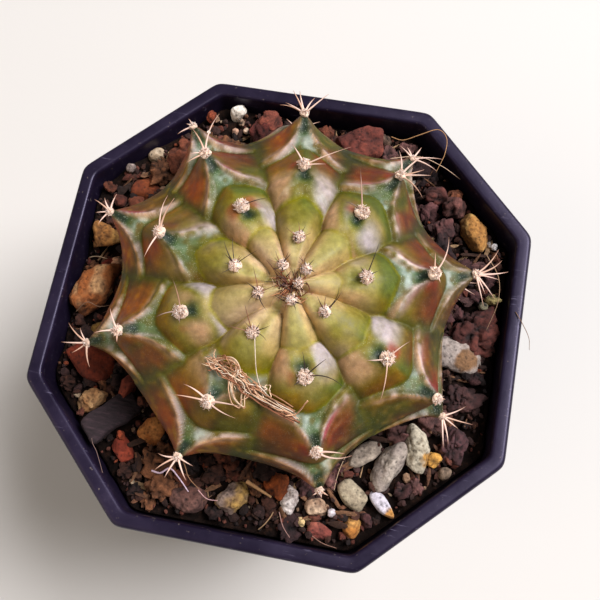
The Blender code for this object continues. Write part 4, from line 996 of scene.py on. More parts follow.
def skin_colours(points, normals, marks, furrow, arc):
    """Colour of each point of the skin, laid over one another from the ground colour up: age
    rings, flanks, cheeks, troughs with their dark pockets of painted shade, pale ridge bands that
    are partly a painted highlight, rosy edges, furrow lines of painted shade and dry tips. Flanks,
    cheeks and bands are tinted by which way they face the key lamp, as painted light and shade.
    The fourth channel is how thickly pale pores speckle it."""
    ridge, along, across, share, spot, groove = marks
    rings = np.array([linear(code) for code in RING_COLOURS])
    tints = np.stack([np.interp(arc, RING_ARCS_MM, rings[:, channel]) for channel in range(3)], -1)
    wide = noise(points, 4.5 * MM, 1)
    middling = noise(points, 1.8 * MM, 2)
    fine = noise(points, 0.8 * MM, 3)
    streak = 0.7 * noise(np.stack([ridge, 0.25 * across, 3.0 * spot], -1), 0.95, 4)
    streak = streak + 0.4 * fine + 0.3 * middling
    old = smooth_step(18.2, 21.2, spot)
    young = 1 - smooth_step(9, 20, spot)
    low = smooth_step(34, 42, arc)
    beside = np.abs(across)
    # Which way the skin faces the key lamp, from the right and behind. The colours laid by these masks are
    # painted light and shade: pale lilac on the lit side, tan painted warm bounce light on the side away from
    # it, and darker browns on the south faces as painted shade.
    facing = normals[..., 0] * 0.80 + normals[..., 1] * 0.60
    painted_lit_side = smooth_step(0.0, 0.34, facing)
    painted_bounce_side = smooth_step(0.06, -0.28, facing)
    south = smooth_step(-0.10, -0.65, normals[..., 1])
    south = south * mixed(0.35, 1.0, smooth_step(-0.6, -0.1, normals[..., 0]))

    def lay(code, amount):
        """Lays one colour over the tints by an amount per point."""
        nonlocal tints
        tints = mixed(tints, linear(code), np.clip(amount, 0, 1)[..., None])

    inner = smooth_step(0.75, 0.25, share) * smooth_step(0.1, 0.7, groove)
    lay("#8c8c4c", 0.65 * young * inner * mixed(0.30, 1.0, smooth_step(-0.6, 0.6, wide + 0.4 * middling)))
    lay("#d2b6a0", 0.55 * young * smooth_step(-0.1, 0.7, 0.3 * middling - wide) * (1 - 0.6 * inner))
    belly = smooth_step(1.0, 3.0, along) * (1 - old) * smooth_step(2, 7, spot)
    lay("#66602f", 0.70 * belly * mixed(0.45, 1.0, smooth_step(-0.5, 0.5, middling + 0.5 * wide)))
    # Painted light and shade: the belly is greener where it faces the lamp and browner on the side away from
    # it.
    lay("#47562a", 0.80 * belly * painted_lit_side * smooth_step(9, 15, arc))
    painted_shade_side = np.maximum(painted_bounce_side, south)
    lay("#7a5822", 0.75 * belly * painted_shade_side * smooth_step(9, 16, arc) * mixed(0.5, 1.0, middling))
    cheek = smooth_step(0.5, 2.8, beside) * smooth_step(1.8, -2.2, along) * smooth_step(7, 13, spot)
    cheek = cheek * (1 - old) * mixed(0.45, 1.0, smooth_step(0.0, 0.8, groove))
    patchy = mixed(0.75, 1.0, smooth_step(-0.6, 0.5, streak))
    lay("#7d7a3c", 0.60 * cheek)
    # Painted light: the cheeks are lilac-white where they face the key lamp and tan, as warm bounce light,
    # where they face away.
    lay("#cfc1c6", 0.80 * cheek * painted_lit_side * patchy)
    lay("#d6a888", 0.80 * cheek * painted_bounce_side * patchy)
    blush = smooth_step(0.5, 1.1, beside) * smooth_step(3.2, 1.6, beside) * smooth_step(-1.6, -0.4, along)
    blush = blush * smooth_step(2.0, 0.9, along) * smooth_step(10, 15, spot) * (1 - low)
    lay("#8e3038", 0.65 * blush * smooth_step(-0.2, 0.5, wide + 0.4 * middling))
    flank = smooth_step(0.9, 2.6, ridge) * smooth_step(0.05, 0.35, share) * smooth_step(17, 23, arc)
    # The flanks' colours follow the lamp: orange-brown on the far side as painted warm bounce light, red and
    # green on the lit side, and dark brown and olive on the south faces as painted shade.
    lay("#86491a", 0.92 * flank * painted_bounce_side * mixed(0.55, 1.0, smooth_step(-0.5, 0.5, wide)))
    lay("#6a2e22", 0.85 * flank * painted_lit_side * smooth_step(-0.5, 0.3, wide))
    lay("#44521f", 0.75 * flank * painted_lit_side * smooth_step(0.0, 0.6, -wide))
    lay("#453120", 0.90 * flank * south)
    lay("#3f4a22", 0.65 * flank * south * smooth_step(-0.1, 0.5, 0.4 * middling - wide))
    lay("#98693f", 0.32 * flank * painted_bounce_side * (1 - south) * smooth_step(0.0, 0.8, streak))
    lay("#80624f", 0.32 * flank * (1 - painted_bounce_side) * smooth_step(0.0, 0.8, streak))
    lay("#38260f", 0.35 * flank * smooth_step(0.0, 0.7, -streak))
    trough = smooth_step(0.2, -0.7, ridge) * old * (1 - smooth_step(40, 46, spot))
    lay("#5e5a2c", 0.85 * trough * mixed(0.6, 1.0, smooth_step(-0.6, 0.5, fine)))
    # Painted shade: brown on the trough's side away from the lamp.
    lay("#70502a", 0.65 * trough * painted_shade_side * smooth_step(-0.3, 0.5, middling))
    behind = np.clip(-along - 0.5, 0, None)
    wedge = smooth_step(0.55, 0.0, beside - 0.3 - 0.80 * behind) * smooth_step(0.2, -0.6, along)
    wedge = wedge * old * smooth_step(6.5, 3.5, behind) * smooth_step(0.5, -0.5, ridge)
    lay("#6f8a76", 0.72 * wedge * mixed(0.30, 1.0, smooth_step(-0.6, 0.4, fine + 0.4 * streak)))
    # Painted highlights: pale grey-teal patches on the wedge.
    lay("#bac8c2", 0.68 * wedge * smooth_step(0.15, 0.8, middling + 0.5 * fine))
    lay("#4d5a30", 0.70 * wedge * smooth_step(0.0, 0.6, -middling - 0.3 * wide))
    lay("#3a5850", 0.55 * wedge * smooth_step(0.1, 0.7, wide) * smooth_step(3.5, 1.5, behind))
    # Painted shade: a dark green to nearly black pocket in the notch on the crown side of each areole.
    painted_pocket_shade = np.exp(-(across / (0.8 + 0.45 * behind)) ** 2) * smooth_step(0.4, -0.5, along)
    painted_pocket_shade = painted_pocket_shade * smooth_step(8, 14, spot)
    lay("#3c5630", 0.80 * painted_pocket_shade * smooth_step(-3.8, -1.6, along))
    lay("#16241a", 0.97 * painted_pocket_shade * smooth_step(-2.7, -1.5, along))
    # The pale band along each ridge is partly its own cream colour and partly a painted highlight:
    # lilac-white on the lit side, and tan as painted warm bounce light on the side away from the lamp.
    pale_band_and_highlight = np.exp(-((ridge - 0.25) / 1.15) ** 2) * old * smooth_step(0.4, 1.3, beside)
    pale_band_and_highlight = pale_band_and_highlight * (1 - 0.70 * smooth_step(3, 8, beside)) * (1 - 0.8 * smooth_step(32, 44, spot))
    pale_band_and_highlight = pale_band_and_highlight * mixed(0.05, 1.0, smooth_step(-0.7, 0.6, streak + 0.6 * wide + 0.5 * fine))
    lay("#d0bfbb", 0.88 * pale_band_and_highlight * (1 - painted_bounce_side) * (1 - 0.5 * south))
    lay("#d2ae90", 0.78 * pale_band_and_highlight * painted_bounce_side)
    rosy = np.exp(-((ridge - 1.3) / 0.65) ** 2) * smooth_step(18, 25, spot) * smooth_step(0.6, 1.6, beside)
    rosy = rosy * np.exp(-(across / 4.2) ** 2) * (1 - low)
    # Laid more thickly where the skin faces the lamp, so this is partly painted light.
    lay("#96304a", 0.95 * rosy * (0.35 + 0.65 * painted_lit_side) * smooth_step(-0.3, 0.4, wide + 0.3 * streak))
    # Along the grooves and furrows: near the crown a lighter olive, partly the young pads' own yellow edges
    # and partly painted light in the narrow furrows; further out dark green lines of painted shade.
    lay("#8a8238", 0.70 * smooth_step(0.7, 0.1, groove) * smooth_step(3, 8, arc) * (1 - old))
    lay("#3a4820", 0.60 * smooth_step(0.9, 0.0, groove) * smooth_step(10, 18, arc) * (1 - low))
    lay("#7a6c2c", 0.70 * smooth_step(0.8, 0.1, furrow) * smooth_step(3, 8, arc))
    lay("#2c3814", 0.75 * smooth_step(2.6, 0.1, furrow) * smooth_step(10, 20, arc))
    tip = smooth_step(1.8, 0.8, beside) * smooth_step(30, 36, spot) * smooth_step(-0.3, 0.6, along)
    lay("#6e6a2c", 0.60 * tip)
    beyond = smooth_step(0.0, 1.5, ridge)
    # Painted shade: the old skin outward of its ridges is darkened towards the furrows.
    lay("#2a2e10", 0.60 * smooth_step(0.40, 0.90, share) * smooth_step(20, 28, arc) * beyond)
    edge = smooth_step(0.30, 0.02, share) * smooth_step(26, 33, arc) * smooth_step(0.6, 1.6, ridge)
    # Kept off the south faces, which are painted in shade.
    lay("#a5814e", 0.45 * edge * smooth_step(-0.3, 0.5, streak) * (1 - south))
    lay("#93804e", 0.28 * smooth_step(0.2, 0.8, fine) * smooth_step(20, 30, arc))
    lay("#544630", 0.80 * smooth_step(50, 58, arc))
    tints = tints * mixed(0.88, 0.80, smooth_step(6, 18, arc))[..., None]
    tints = tints * mixed(np.ones(3), np.array([1.06, 0.95, 0.90]), smooth_step(12, 24, arc)[..., None])
    # Painted shade: the older skin that faces the key lamp is drawn darker, against the light on it.
    tints = tints * mixed(1.0, 0.72, painted_lit_side * smooth_step(17, 26, arc))[..., None]
    grey = tints.mean(-1, keepdims=True)
    richness = 1.16 + 0.26 * smooth_step(0.22, 0.06, grey)
    tints = (grey + richness * (tints - grey)) * (1 + 0.14 * middling + 0.14 * fine)[..., None]
    tints = np.clip(tints, 0, 1)
    speckle = 0.15 + 0.35 * trough + 0.5 * wedge + 0.5 * painted_pocket_shade + 0.3 * cheek + 0.4 * pale_band_and_highlight
    return np.concatenate([tints, 0.6 * np.clip(speckle, 0, 1)[..., None]], -1)


# Cactus skin: a thick waxy skin over wet flesh. The wax gives a soft broken gloss, the flesh
# lets a little light through, and tiny pale breathing pores speckle it, five or so to the
# millimetre in life and drawn at four so that they show.
cactus_skin, shader = new_finish("waxy_cactus_skin", "#808449", 0.42, 1.42)
tint, place, mottle, mottled = shade_tints(cactus_skin, 1.0 * MM, 6.0, 0.66, (0.3, 0.7), (0.72, 1.20))
pore_amount = tint.node.outputs["Alpha"]
stomata = add_node(cactus_skin, "ShaderNodeTexVoronoi", "Distance", {
    "Vector": place, "Scale": 1 / (0.24 * MM), "Randomness": 1.0})
stoma_share = add_node(cactus_skin, "ShaderNodeMapRange", "Result", {
    "Value": stomata, "From Min": 0.05, "From Max": 0.34, "To Min": pore_amount, "To Max": 0.0})
speckle_share = add_node(cactus_skin, "ShaderNodeMapRange", "Result", {
    "Value": mottle, "From Min": 0.40, "From Max": 0.58, "To Min": 0.0, "To Max": stoma_share})
speckled = add_node(cactus_skin, "ShaderNodeMix", "Result", {
    "Factor": speckle_share, "A": mottled, "B": (*linear("#c6cbb4"), 1.0)}, data_type="RGBA")
link(cactus_skin, speckled, shader.inputs["Base Color"])
wax = add_node(cactus_skin, "ShaderNodeMapRange", "Result", {
    "Value": mottle, "From Min": 0.3, "From Max": 0.7, "To Min": 0.42, "To Max": 0.68})
link(cactus_skin, wax, shader.inputs["Roughness"])
shader.inputs["Specular IOR Level"].default_value = 0.4
shader.inputs["Subsurface Weight"].default_value = 0.12
shader.inputs["Subsurface Radius"].default_value = (1.0, 0.8, 0.3)
shader.inputs["Subsurface Scale"].default_value = 1.2 * MM
pebbled = add_node(cactus_skin, "ShaderNodeBump", "Normal", {
    "Height": mottle, "Strength": 0.35, "Distance": 0.12 * MM})
dotted = add_node(cactus_skin, "ShaderNodeBump", "Normal", {
    "Height": stomata, "Normal": pebbled, "Strength": 0.18, "Distance": 0.05 * MM})
link(cactus_skin, dotted, shader.inputs["Normal"])

columns = []
for rib, before, after in zip(RIBS, np.append(FURROW_ANGLES[-1] - 2 * math.pi, FURROW_ANGLES), FURROW_ANGLES):
    for start, end in ((before, rib), (rib, after)):
        columns.append(np.linspace(start, end, HALF_RIB_COLUMNS, endpoint=False))
rows = np.concatenate([
    np.arange(0.4, FINE_ARC_MM, FINE_STEP_MM), np.arange(FINE_ARC_MM, RIBBED_ARC_MM + 1, COARSE_STEP_MM),
    np.linspace(RIBBED_ARC_MM + 3, CREST[0][-1] - 0.5, NECK_ROWS)])
angles, arcs = np.meshgrid(np.concatenate(columns), rows)
body_points, marks, furrow = skin_point(angles, arcs)
down = np.gradient(body_points, axis=0)
round_about = np.roll(body_points, -1, 1) - np.roll(body_points, 1, 1)
normals = unit(np.cross(down, round_about))
unevenness = noise(body_points, 0.9 * MM, 11) * 0.03 * MM + noise(body_points, 2.5 * MM, 12) * 0.08 * MM
body_points += normals * unevenness[..., None]
body_tints = skin_colours(body_points, normals, marks, furrow, arcs)
foot_point = skin_point(0.0, CREST[0][-1])[0]
crown_point = skin_point(0.0, 0.0)[0]
pole_tints = np.array([[*linear("#5d4a34"), 0.3], [*linear("#a08c46"), 0.3]])
body = put_loft(
    "cactus_body", body_points[::-1], foot_point, crown_point, cactus_skin,
    np.concatenate([body_tints[::-1].reshape(-1, 4), pole_tints]))
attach(body, "root")
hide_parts("cactus")

# Areoles
# The woolly cushions that the spines grow from, one on the top of every tubercle: a felted
# knob of short pale hairs. The wool is cream on the young ones and tan where it has aged.
WOOL_RADIUS, WOOL_LENGTH, WOOL_LIFT, HAIR_ROOTS = 0.95 * MM, 0.42 * MM, 0.15 * MM, 0.86
WOOL_AGES_MM, WOOL_GROWTH = (0, 6, 14, 21, 30, 36, 46), (0.72, 0.85, 1.12, 0.95, 0.70, 0.56, 0.45)
KNOB_ROWS, KNOB_COLUMNS, HAIRS_EACH, HAIR_STEPS = 13, 20, 180, 4
YOUNG_WOOL, OLD_WOOL = "#dabda6", "#b99a84"
HAIR_TONES = (("#ead5c6", 0.30), ("#dfc0ab", 0.30), ("#cba289", 0.20), ("#f6eae2", 0.12), ("#a87c5e", 0.08))


def put_tubes(name, paths, radii, tints, finish, sides=6):
    """One mesh of many tapered tubes along equal paths: at each point of a path a ring stands
    square to the way there, its first axis carried along from the ring before it. Both ends are
    closed by a fan to the path's own end."""
    paths, radii, tints = np.array(paths), np.array(radii), np.array(tints)
    count, steps = paths.shape[:2]
    forward = unit(np.gradient(paths, axis=1))
    helper = np.where(np.abs(forward[:, :1, 2:]) < 0.9, (0.0, 0.0, 1.0), (1.0, 0.0, 0.0))
    first_axis = np.empty_like(paths)
    carried = np.cross(forward[:, 0], helper[:, 0])
    for step in range(steps):
        carried = unit(carried - (carried * forward[:, step]).sum(-1, keepdims=True) * forward[:, step])
        first_axis[:, step] = carried
    second_axis = np.cross(forward, first_axis)
    turn = np.linspace(0, 2 * math.pi, sides, endpoint=False)[:, None]
    rings = first_axis[:, :, None] * np.cos(turn) + second_axis[:, :, None] * np.sin(turn)
    rings = paths[:, :, None] + rings * radii[:, :, None, None]
    points = np.concatenate([rings.reshape(count, -1, 3), paths[:, :1], paths[:, -1:]], 1)
    tints = np.concatenate([np.repeat(tints, sides, 1), tints[:, :1], tints[:, -1:]], 1)
    return put_mesh(
        name, points.reshape(-1, 3), closed_faces(steps, sides, count), finish, tints.reshape(-1, 3))


# Areole wool: felted plant hair, matt, with a faint sheen where the light catches its fibres.
wool, shader = new_finish("areole_wool", "#e2c9b4", 0.95, 1.5)
tint = add_node(wool, "ShaderNodeAttribute", "Color", {}, attribute_name="tint")
link(wool, tint, shader.inputs["Base Color"])
shader.inputs["Sheen Weight"].default_value = 0.3

# Where the areoles sit: place, way outward along the rib, way up from the skin, age as the arc
# from the crown, and number of the rib and in the rib, both from one.
places, outwards, tops, ages, keys = [], [], [], [], []
for number, arcs_of_rib in enumerate(AREOLES_MM):
    for order, arc in enumerate(arcs_of_rib):
        rib = float(rib_angle(number, arc))
        ends = skin_point(np.full(3, rib), np.array([max(arc - 0.2, 0), arc, arc + 0.2]))[0]
        out, lift = np.interp(arc, CREST[0], CREST[3]), np.interp(arc, CREST[0], CREST[4])
        top = np.array([out * math.cos(rib), out * math.sin(rib), lift])
        outward = np.cross(np.array([-math.sin(rib), math.cos(rib), 0.0]), top)
        outward *= np.sign(outward @ (ends[2] - ends[0]))
        places.append(ends[1])
        outwards.append(outward)
        tops.append(top)
        ages.append(arc)
        keys.append((number + 1, order + 1))
places, outwards, tops, ages = np.array(places), unit(np.array(outwards)), np.array(tops), np.array(ages)
frames = np.stack([outwards, np.cross(tops, outwards), tops], 1)
growth = np.interp(ages, WOOL_AGES_MM, WOOL_GROWTH)
middles = places + tops * WOOL_LIFT

# The knobs: balls with lumps, flattened and turned to stand on the skin.
knob = ball_directions(KNOB_ROWS, KNOB_COLUMNS)
lumps = noise(knob[None] + np.arange(len(places))[:, None, None] * 3.7, 0.45, 3)[..., None]
local = knob[None] * (1 + 0.30 * lumps) * WOOL_RADIUS * growth[:, None, None] * (1.0, 1.0, 0.75)
knob_points = middles[:, None] + np.einsum("nki,nij->nkj", local, frames)
knob_tone = mixed(linear(YOUNG_WOOL), linear(OLD_WOOL), smooth_step(26, 40, ages)[:, None, None])
knob_tints = np.clip(knob_tone * (1 + 0.5 * lumps), 0, 1)
knobs = put_mesh(
    "areole_knobs", knob_points.reshape(-1, 3), closed_faces(KNOB_ROWS, KNOB_COLUMNS, len(places)), wool,
    knob_tints.reshape(-1, 3))
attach(knobs, "root")
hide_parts("cactus")

# The hairs: each leaves its knob outward, curls one way and sways another.
draw = np.random.default_rng(21)
which = np.repeat(np.arange(len(places)), HAIRS_EACH)
count = len(which)
direction = unit(draw.normal(size=(count, 3)) + (0, 0, 0.9))
direction[:, 2] = np.abs(direction[:, 2])
world = np.einsum("ni,nij->nj", direction, frames[which])
roots = middles[which] + world * HAIR_ROOTS * WOOL_RADIUS * growth[which, None]
curl, sway = unit(draw.normal(size=(count, 3))), unit(draw.normal(size=(count, 3)))
length = draw.uniform(0.4, 1.1, (count, 1)) * WOOL_LENGTH * growth[which, None]
share = np.linspace(0, 1, HAIR_STEPS)[None, :, None]
way = (0.45 * world + 0.8 * curl)[:, None] * share + 0.35 * sway[:, None] * np.sin(math.pi * share)
paths = roots[:, None] + length[:, None] * way
radii = np.linspace(0.062, 0.03, HAIR_STEPS)[None] * MM * np.ones((count, 1))
fading = mixed(1.0, 0.8, smooth_step(30, 40, ages)[which])[:, None]
hair_tints = np.repeat((pick_tones(draw, HAIR_TONES, count) * fading)[:, None], HAIR_STEPS, 1)
wool_hairs = put_tubes("areole_hairs", paths, radii, hair_tints, wool, sides=3)
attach(wool_hairs, "root")
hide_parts("cactus")

# Spines
# Stiff, slightly curved needles that grow from the areoles, two to seven from each and six short
# bristles more from a young one: dark at the crown, and pale and longest on the outer tips.
SPINE_STEPS, SPINE_LIFT, BRISTLES_EACH = 8, 0.2 * MM, 6
YOUNG_ARC_MM, LOW_ARC_MM, AGEING_ARCS_MM = 13, 38, (8, 24)
LIFT_ARCS_MM, LIFTS_DEGREES = (0, 10, 24, 32, 46), (46, 34, 24, 16, 4)
SPINE_RADII = (0.085 * MM, 0.165 * MM)
LOW_FAN_DEGREES, SIDE_FAN_DEGREES = (-85, -45, 0, 45, 85), (-75, 5, 80)

# Colours of a young and an old spine: the usual one, a rarer one, the tip and the foot.
YOUNG_SPINE, YOUNG_USUAL = ("#2a1a18", "#8a5a40", "#1c1110", "#7a5238"), 0.72
OLD_SPINE, OLD_USUAL = ("#e3c0ae", "#cba187", "#a5765e", "#e6c8b4"), 0.70

# The brown tangle of new spines and wool in the sunken crown.
TANGLE_COUNT, TANGLE_SPREAD_MM, TANGLE_EDGE_MM = 150, 1.3, 3.0
TANGLE_TONES = (("#5c2c18", 0.30), ("#8a4826", 0.32), ("#351a14", 0.12), ("#b87a50", 0.16), ("#e0bc9c", 0.10))

# For each areole that the photograph shows, by rib and place in it: the turn of each spine from
# the outward way in degrees, and its level reach in millimetres.
SPINE_FANS = {
    (1, 1): ((-60, 2.2), (70, 2.0), (160, 1.6)),
    (1, 2): ((65, 4.0), (120, 1.5), (-120, 1.2), (-60, 1.4)),
    (1, 3): ((95, 3.0), (60, 5.0), (-70, 1.6)),
    (1, 4): ((50, 4.2), (22, 4.0), (0, 4.2), (-22, 3.2), (-65, 4.0), (-80, 3.5), (-95, 5.0)),
    (2, 1): ((80, 1.8), (-70, 1.6), (15, 1.4), (150, 1.2)),
    (2, 2): ((55, 5.5), (105, 2.8), (-80, 1.2)),
    (2, 3): ((50, 3.5), (-10, 4.2), (-38, 3.4), (-55, 4.8), (-115, 5.5)),
    (2, 4): ((70, 2.4), (130, 2.6), (-50, 3.8), (-80, 4.2), (10, 2.2)),
    (3, 1): ((90, 2.0), (-75, 1.4), (10, 1.7), (160, 1.3), (-150, 1.4)),
    (3, 2): ((40, 3.6), (-70, 5.8), (-90, 3.5)),
    (3, 3): ((40, 3.7), (20, 3.4), (-30, 2.6), (-50, 4.6), (80, 4.2), (66, 3.2)),
    (4, 1): ((60, 1.8), (-60, 1.6), (170, 1.3), (10, 1.5)),
    (4, 2): ((-120, 3.6), (-60, 1.4), (70, 1.3)),
    (4, 3): ((-5, 3.8), (-60, 5.2), (115, 3.0), (80, 2.2)),
    (4, 4): ((-5, 1.6), (115, 3.0), (40, 1.2)),
    (5, 1): ((-45, 2.7), (-70, 3.5), (-135, 3.2), (60, 2.0), (110, 1.6)),
    (5, 2): ((-90, 5.2), (-105, 4.4), (90, 4.2)),
    (5, 3): ((-15, 3.0), (-115, 2.6), (80, 2.6), (30, 2.4), (-50, 2.2)),
    (6, 1): ((-100, 2.5), (100, 3.0), (-180, 2.6), (-45, 1.8), (35, 2.0)),
    (6, 2): ((-100, 4.2), (0, 3.0), (90, 1.8)),
    (6, 3): ((-100, 3.6), (-10, 2.8), (80, 2.0)),
    (6, 4): ((-65, 4.2), (-25, 3.4), (25, 2.8), (80, 3.8), (-100, 2.6)),
    (7, 1): ((-75, 3.5), (-125, 3.5), (130, 2.7), (100, 2.6)),
    (7, 2): ((-75, 4.6), (-100, 4.2), (110, 4.6), (95, 4.2)),
    (7, 3): ((-40, 3.4), (0, 3.6), (95, 2.6), (55, 3.6), (-70, 2.6)),
    (8, 1): ((-110, 2.0), (120, 1.8), (60, 1.6), (-50, 1.8), (175, 1.5)),
    (8, 2): ((120, 4.0), (75, 5.6), (175, 3.6), (-70, 2.2)),
    (8, 3): ((85, 3.4), (70, 4.4), (-90, 1.2)),
    (8, 4): ((60, 1.4), (-70, 1.2), (10, 1.0)),
    (9, 1): ((90, 4.0), (75, 3.0), (165, 1.8), (-80, 1.8), (-120, 1.6)),
    (9, 2): ((-145, 3.0), (75, 3.6), (-65, 5.8)),
    (9, 3): ((40, 1.2), (-80, 1.0)),
    (9, 4): ((65, 3.8), (30, 3.8), (-65, 4.6), (-40, 4.2), (0, 3.0)),
}

# Spine: dry horn-like wood, smooth and faintly glossy, darker towards its tip.
spine, shader = new_finish("spine_horn", "#caa28a", 0.5, 1.53)
tint = add_node(spine, "ShaderNodeAttribute", "Color", {}, attribute_name="tint")
link(spine, tint, shader.inputs["Base Color"])

draw = np.random.default_rng(33)
spine_paths, spine_radii, spine_tints = [], [], []
share = np.linspace(0, 1, SPINE_STEPS)[:, None]
for index, key in enumerate(keys):
    arc = ages[index]
    if key in SPINE_FANS:
        fan = SPINE_FANS[key]
    elif arc > LOW_ARC_MM:
        fan = [(turn + draw.uniform(-8, 8), draw.uniform(2.6, 4.0)) for turn in LOW_FAN_DEGREES]
    else:
        fan = [(turn + draw.uniform(-10, 10), draw.uniform(1.6, 2.6)) for turn in SIDE_FAN_DEGREES]
    if arc < YOUNG_ARC_MM:
        fan = [*fan, *((draw.uniform(-180, 180), draw.uniform(0.9, 1.8)) for _ in range(BRISTLES_EACH))]
    age = float(smooth_step(*AGEING_ARCS_MM, arc))
    for turn_degrees, reach in fan:
        turn = math.radians(turn_degrees + draw.uniform(-2, 2))
        heading = float(rib_angle(key[0] - 1, arc)) + turn
        flat = np.array([math.cos(heading), math.sin(heading), 0.0])
        flat = flat - min(flat @ tops[index], 0.0) * tops[index]
        flat = flat / math.hypot(flat[0], flat[1])
        lift = math.radians(np.interp(arc, LIFT_ARCS_MM, LIFTS_DEGREES) + draw.uniform(-7, 7))
        direction = flat + tops[index] * math.tan(lift)
        length = reach * MM
        sag = unit(tops[index] * -0.8 + draw.normal(size=3) * 0.35)
        bow = np.cross(tops[index], direction) * draw.uniform(-0.36, 0.36) * (1 - share)
        root = places[index] + tops[index] * SPINE_LIFT
        spine_paths.append(root + length * ((direction + bow) * share + sag * 0.22 * share ** 2.2))
        thick = mixed(*SPINE_RADII, age) * draw.uniform(0.85, 1.15)
        spine_radii.append(thick * (1.0 - 0.86 * share[:, 0] ** 1.4))
        young = YOUNG_SPINE[0 if draw.uniform() < YOUNG_USUAL else 1]
        old = OLD_SPINE[0 if draw.uniform() < OLD_USUAL else 1]
        shank = mixed(linear(young), linear(old), smooth_step(0.25, 0.75, age))
        tip = mixed(linear(YOUNG_SPINE[2]), linear(OLD_SPINE[2]), smooth_step(0.25, 0.9, age))
        foot = mixed(linear(YOUNG_SPINE[3]), linear(OLD_SPINE[3]), smooth_step(0.1, 0.7, age))
        tone = mixed(foot, shank, smooth_step(0.0, 0.35, share))
        spine_tints.append(mixed(tone, tip, smooth_step(0.6, 1.0, share)))
for _ in range(TANGLE_COUNT):
    turn = draw.uniform(0, 2 * math.pi)
    reach = abs(draw.normal()) * TANGLE_SPREAD_MM
    root = skin_point(turn, min(reach, TANGLE_EDGE_MM))[0]
    direction = unit(np.array([math.cos(turn) * 0.5, math.sin(turn) * 0.5, 0.8]) + draw.normal(size=3) * 0.6)
    direction[2] = abs(direction[2]) * 0.6
    length = draw.uniform(0.8, 2.6) * MM
    sag = unit(draw.normal(size=3)) * 0.3
    spine_paths.append(root + direction * length * share + sag * length * share ** 2)
    spine_radii.append(draw.uniform(0.06, 0.10) * MM * (1.0 - 0.8 * share[:, 0] ** 1.4))
    spine_tints.append(pick_tones(draw, TANGLE_TONES, 1) * np.ones((SPINE_STEPS, 3)))
spines = put_tubes("spines", spine_paths, spine_radii, spine_tints, spine)
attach(spines, "root")
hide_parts("cactus")

# Dried flower
# Last season's flower, dead and fallen against the plant: a shrivelled stalk with a frayed head
# of papery loops, straw brown. It lies on the skin and hangs on by a few strands.
STRANDS_EACH, STRAND_SPREADS_MM = (9, 8, 5, 5, 1, 2), (0.80, 0.80, 0.45, 0.45, 0.15, 0.15)
STRAND_STEPS, LOOP_COUNT, STALK_STEPS = 48, 24, 50
PETAL_TONES = ("#dbab86", "#b98560", "#e6c6a4", "#965f40", "#ead4bc")
RAY_START = 120 * MM

# The middle line of each bundle of strands: x, y and height over the skin in millimetres.
FLOWER_STRANDS_MM = (
    ((6.6, -18.6, 0.2), (3.2, -17.5, 0.5), (0.4, -16.5, 0.9), (-1.8, -15.3, 1.0), (-4.2, -14.2, 1.0),
     (-6.7, -13.6, 0.8)),
    ((6.4, -18.0, 0.5), (3.5, -16.9, 0.9), (0.8, -15.8, 1.0), (-1.7, -14.7, 1.2), (-4.0, -13.6, 1.1),
     (-6.3, -13.2, 0.8)),
    ((-5.8, -13.3, 0.8), (-4.2, -12.6, 1.3), (-2.6, -12.8, 1.6), (-1.9, -13.9, 1.4), (-2.5, -15.0, 1.1),
     (-1.7, -15.9, 0.8)),
    ((-3.0, -15.0, 0.9), (-2.6, -16.4, 1.2), (-2.1, -17.6, 1.0), (-0.9, -18.3, 0.8), (-0.9, -17.2, 1.0),
     (-0.2, -16.4, 0.9)),
    ((-0.7, -8.6, 0.6), (-0.2, -10.9, 0.8), (0.4, -13.7, 0.9), (1.5, -16.1, 0.8), (2.7, -17.4, 0.6)),
    ((5.3, -18.6, 0.6), (6.4, -18.2, 0.9), (7.1, -17.4, 1.3), (8.0, -16.3, 1.7)),
)


def smooth_path(knots, steps):
    """Points of a smooth curve through a few given ones: a Catmull-Rom cubic between each two."""
    knots = np.array(knots, float)
    ends = np.vstack([2 * knots[0] - knots[1], knots, 2 * knots[-1] - knots[-2]])
    share = np.linspace(0, len(knots) - 1 - 1e-9, steps)
    start = share.astype(int)
    part = (share - start)[:, None]
    before, first, second, after = ends[start], ends[start + 1], ends[start + 2], ends[start + 3]
    return 0.5 * (
        2 * first + (second - before) * part + (2 * before - 5 * first + 4 * second - after) * part ** 2
        + (3 * first - before - 3 * second + after) * part ** 3)


# Dry petal strands: thin papery fibres, matt, straw to brown, lighter where they are frayed.
petal, shader = new_finish("dried_petal_fibre", "#b98f68", 0.85, 1.5)
*_, shaded = shade_tints(petal, 0.5 * MM, 4.0, 0.7, (0.3, 0.7), (0.70, 1.25))
link(petal, shaded, shader.inputs["Base Color"])

skin_tree = BVHTree.FromPolygons(
    [tuple(vertex.co) for vertex in body.data.vertices],
    [tuple(face.vertices) for face in body.data.polygons])


def laid_on_skin(path, least):
    """Places in metres of a path of x, y and height over the skin in millimetres. The skin under
    each point is found by a ray straight down, and no point comes nearer to it than the least."""
    found = []
    for x, y in path[:, :2] * MM:
        hit = skin_tree.ray_cast(Vector((x, y, RAY_START)), Vector((0, 0, -1)))[0]
        found.append(hit.z if hit else POT_HEIGHT)
    return np.column_stack([path[:, :2] * MM, np.array(found) + np.clip(path[:, 2], least, None) * MM])


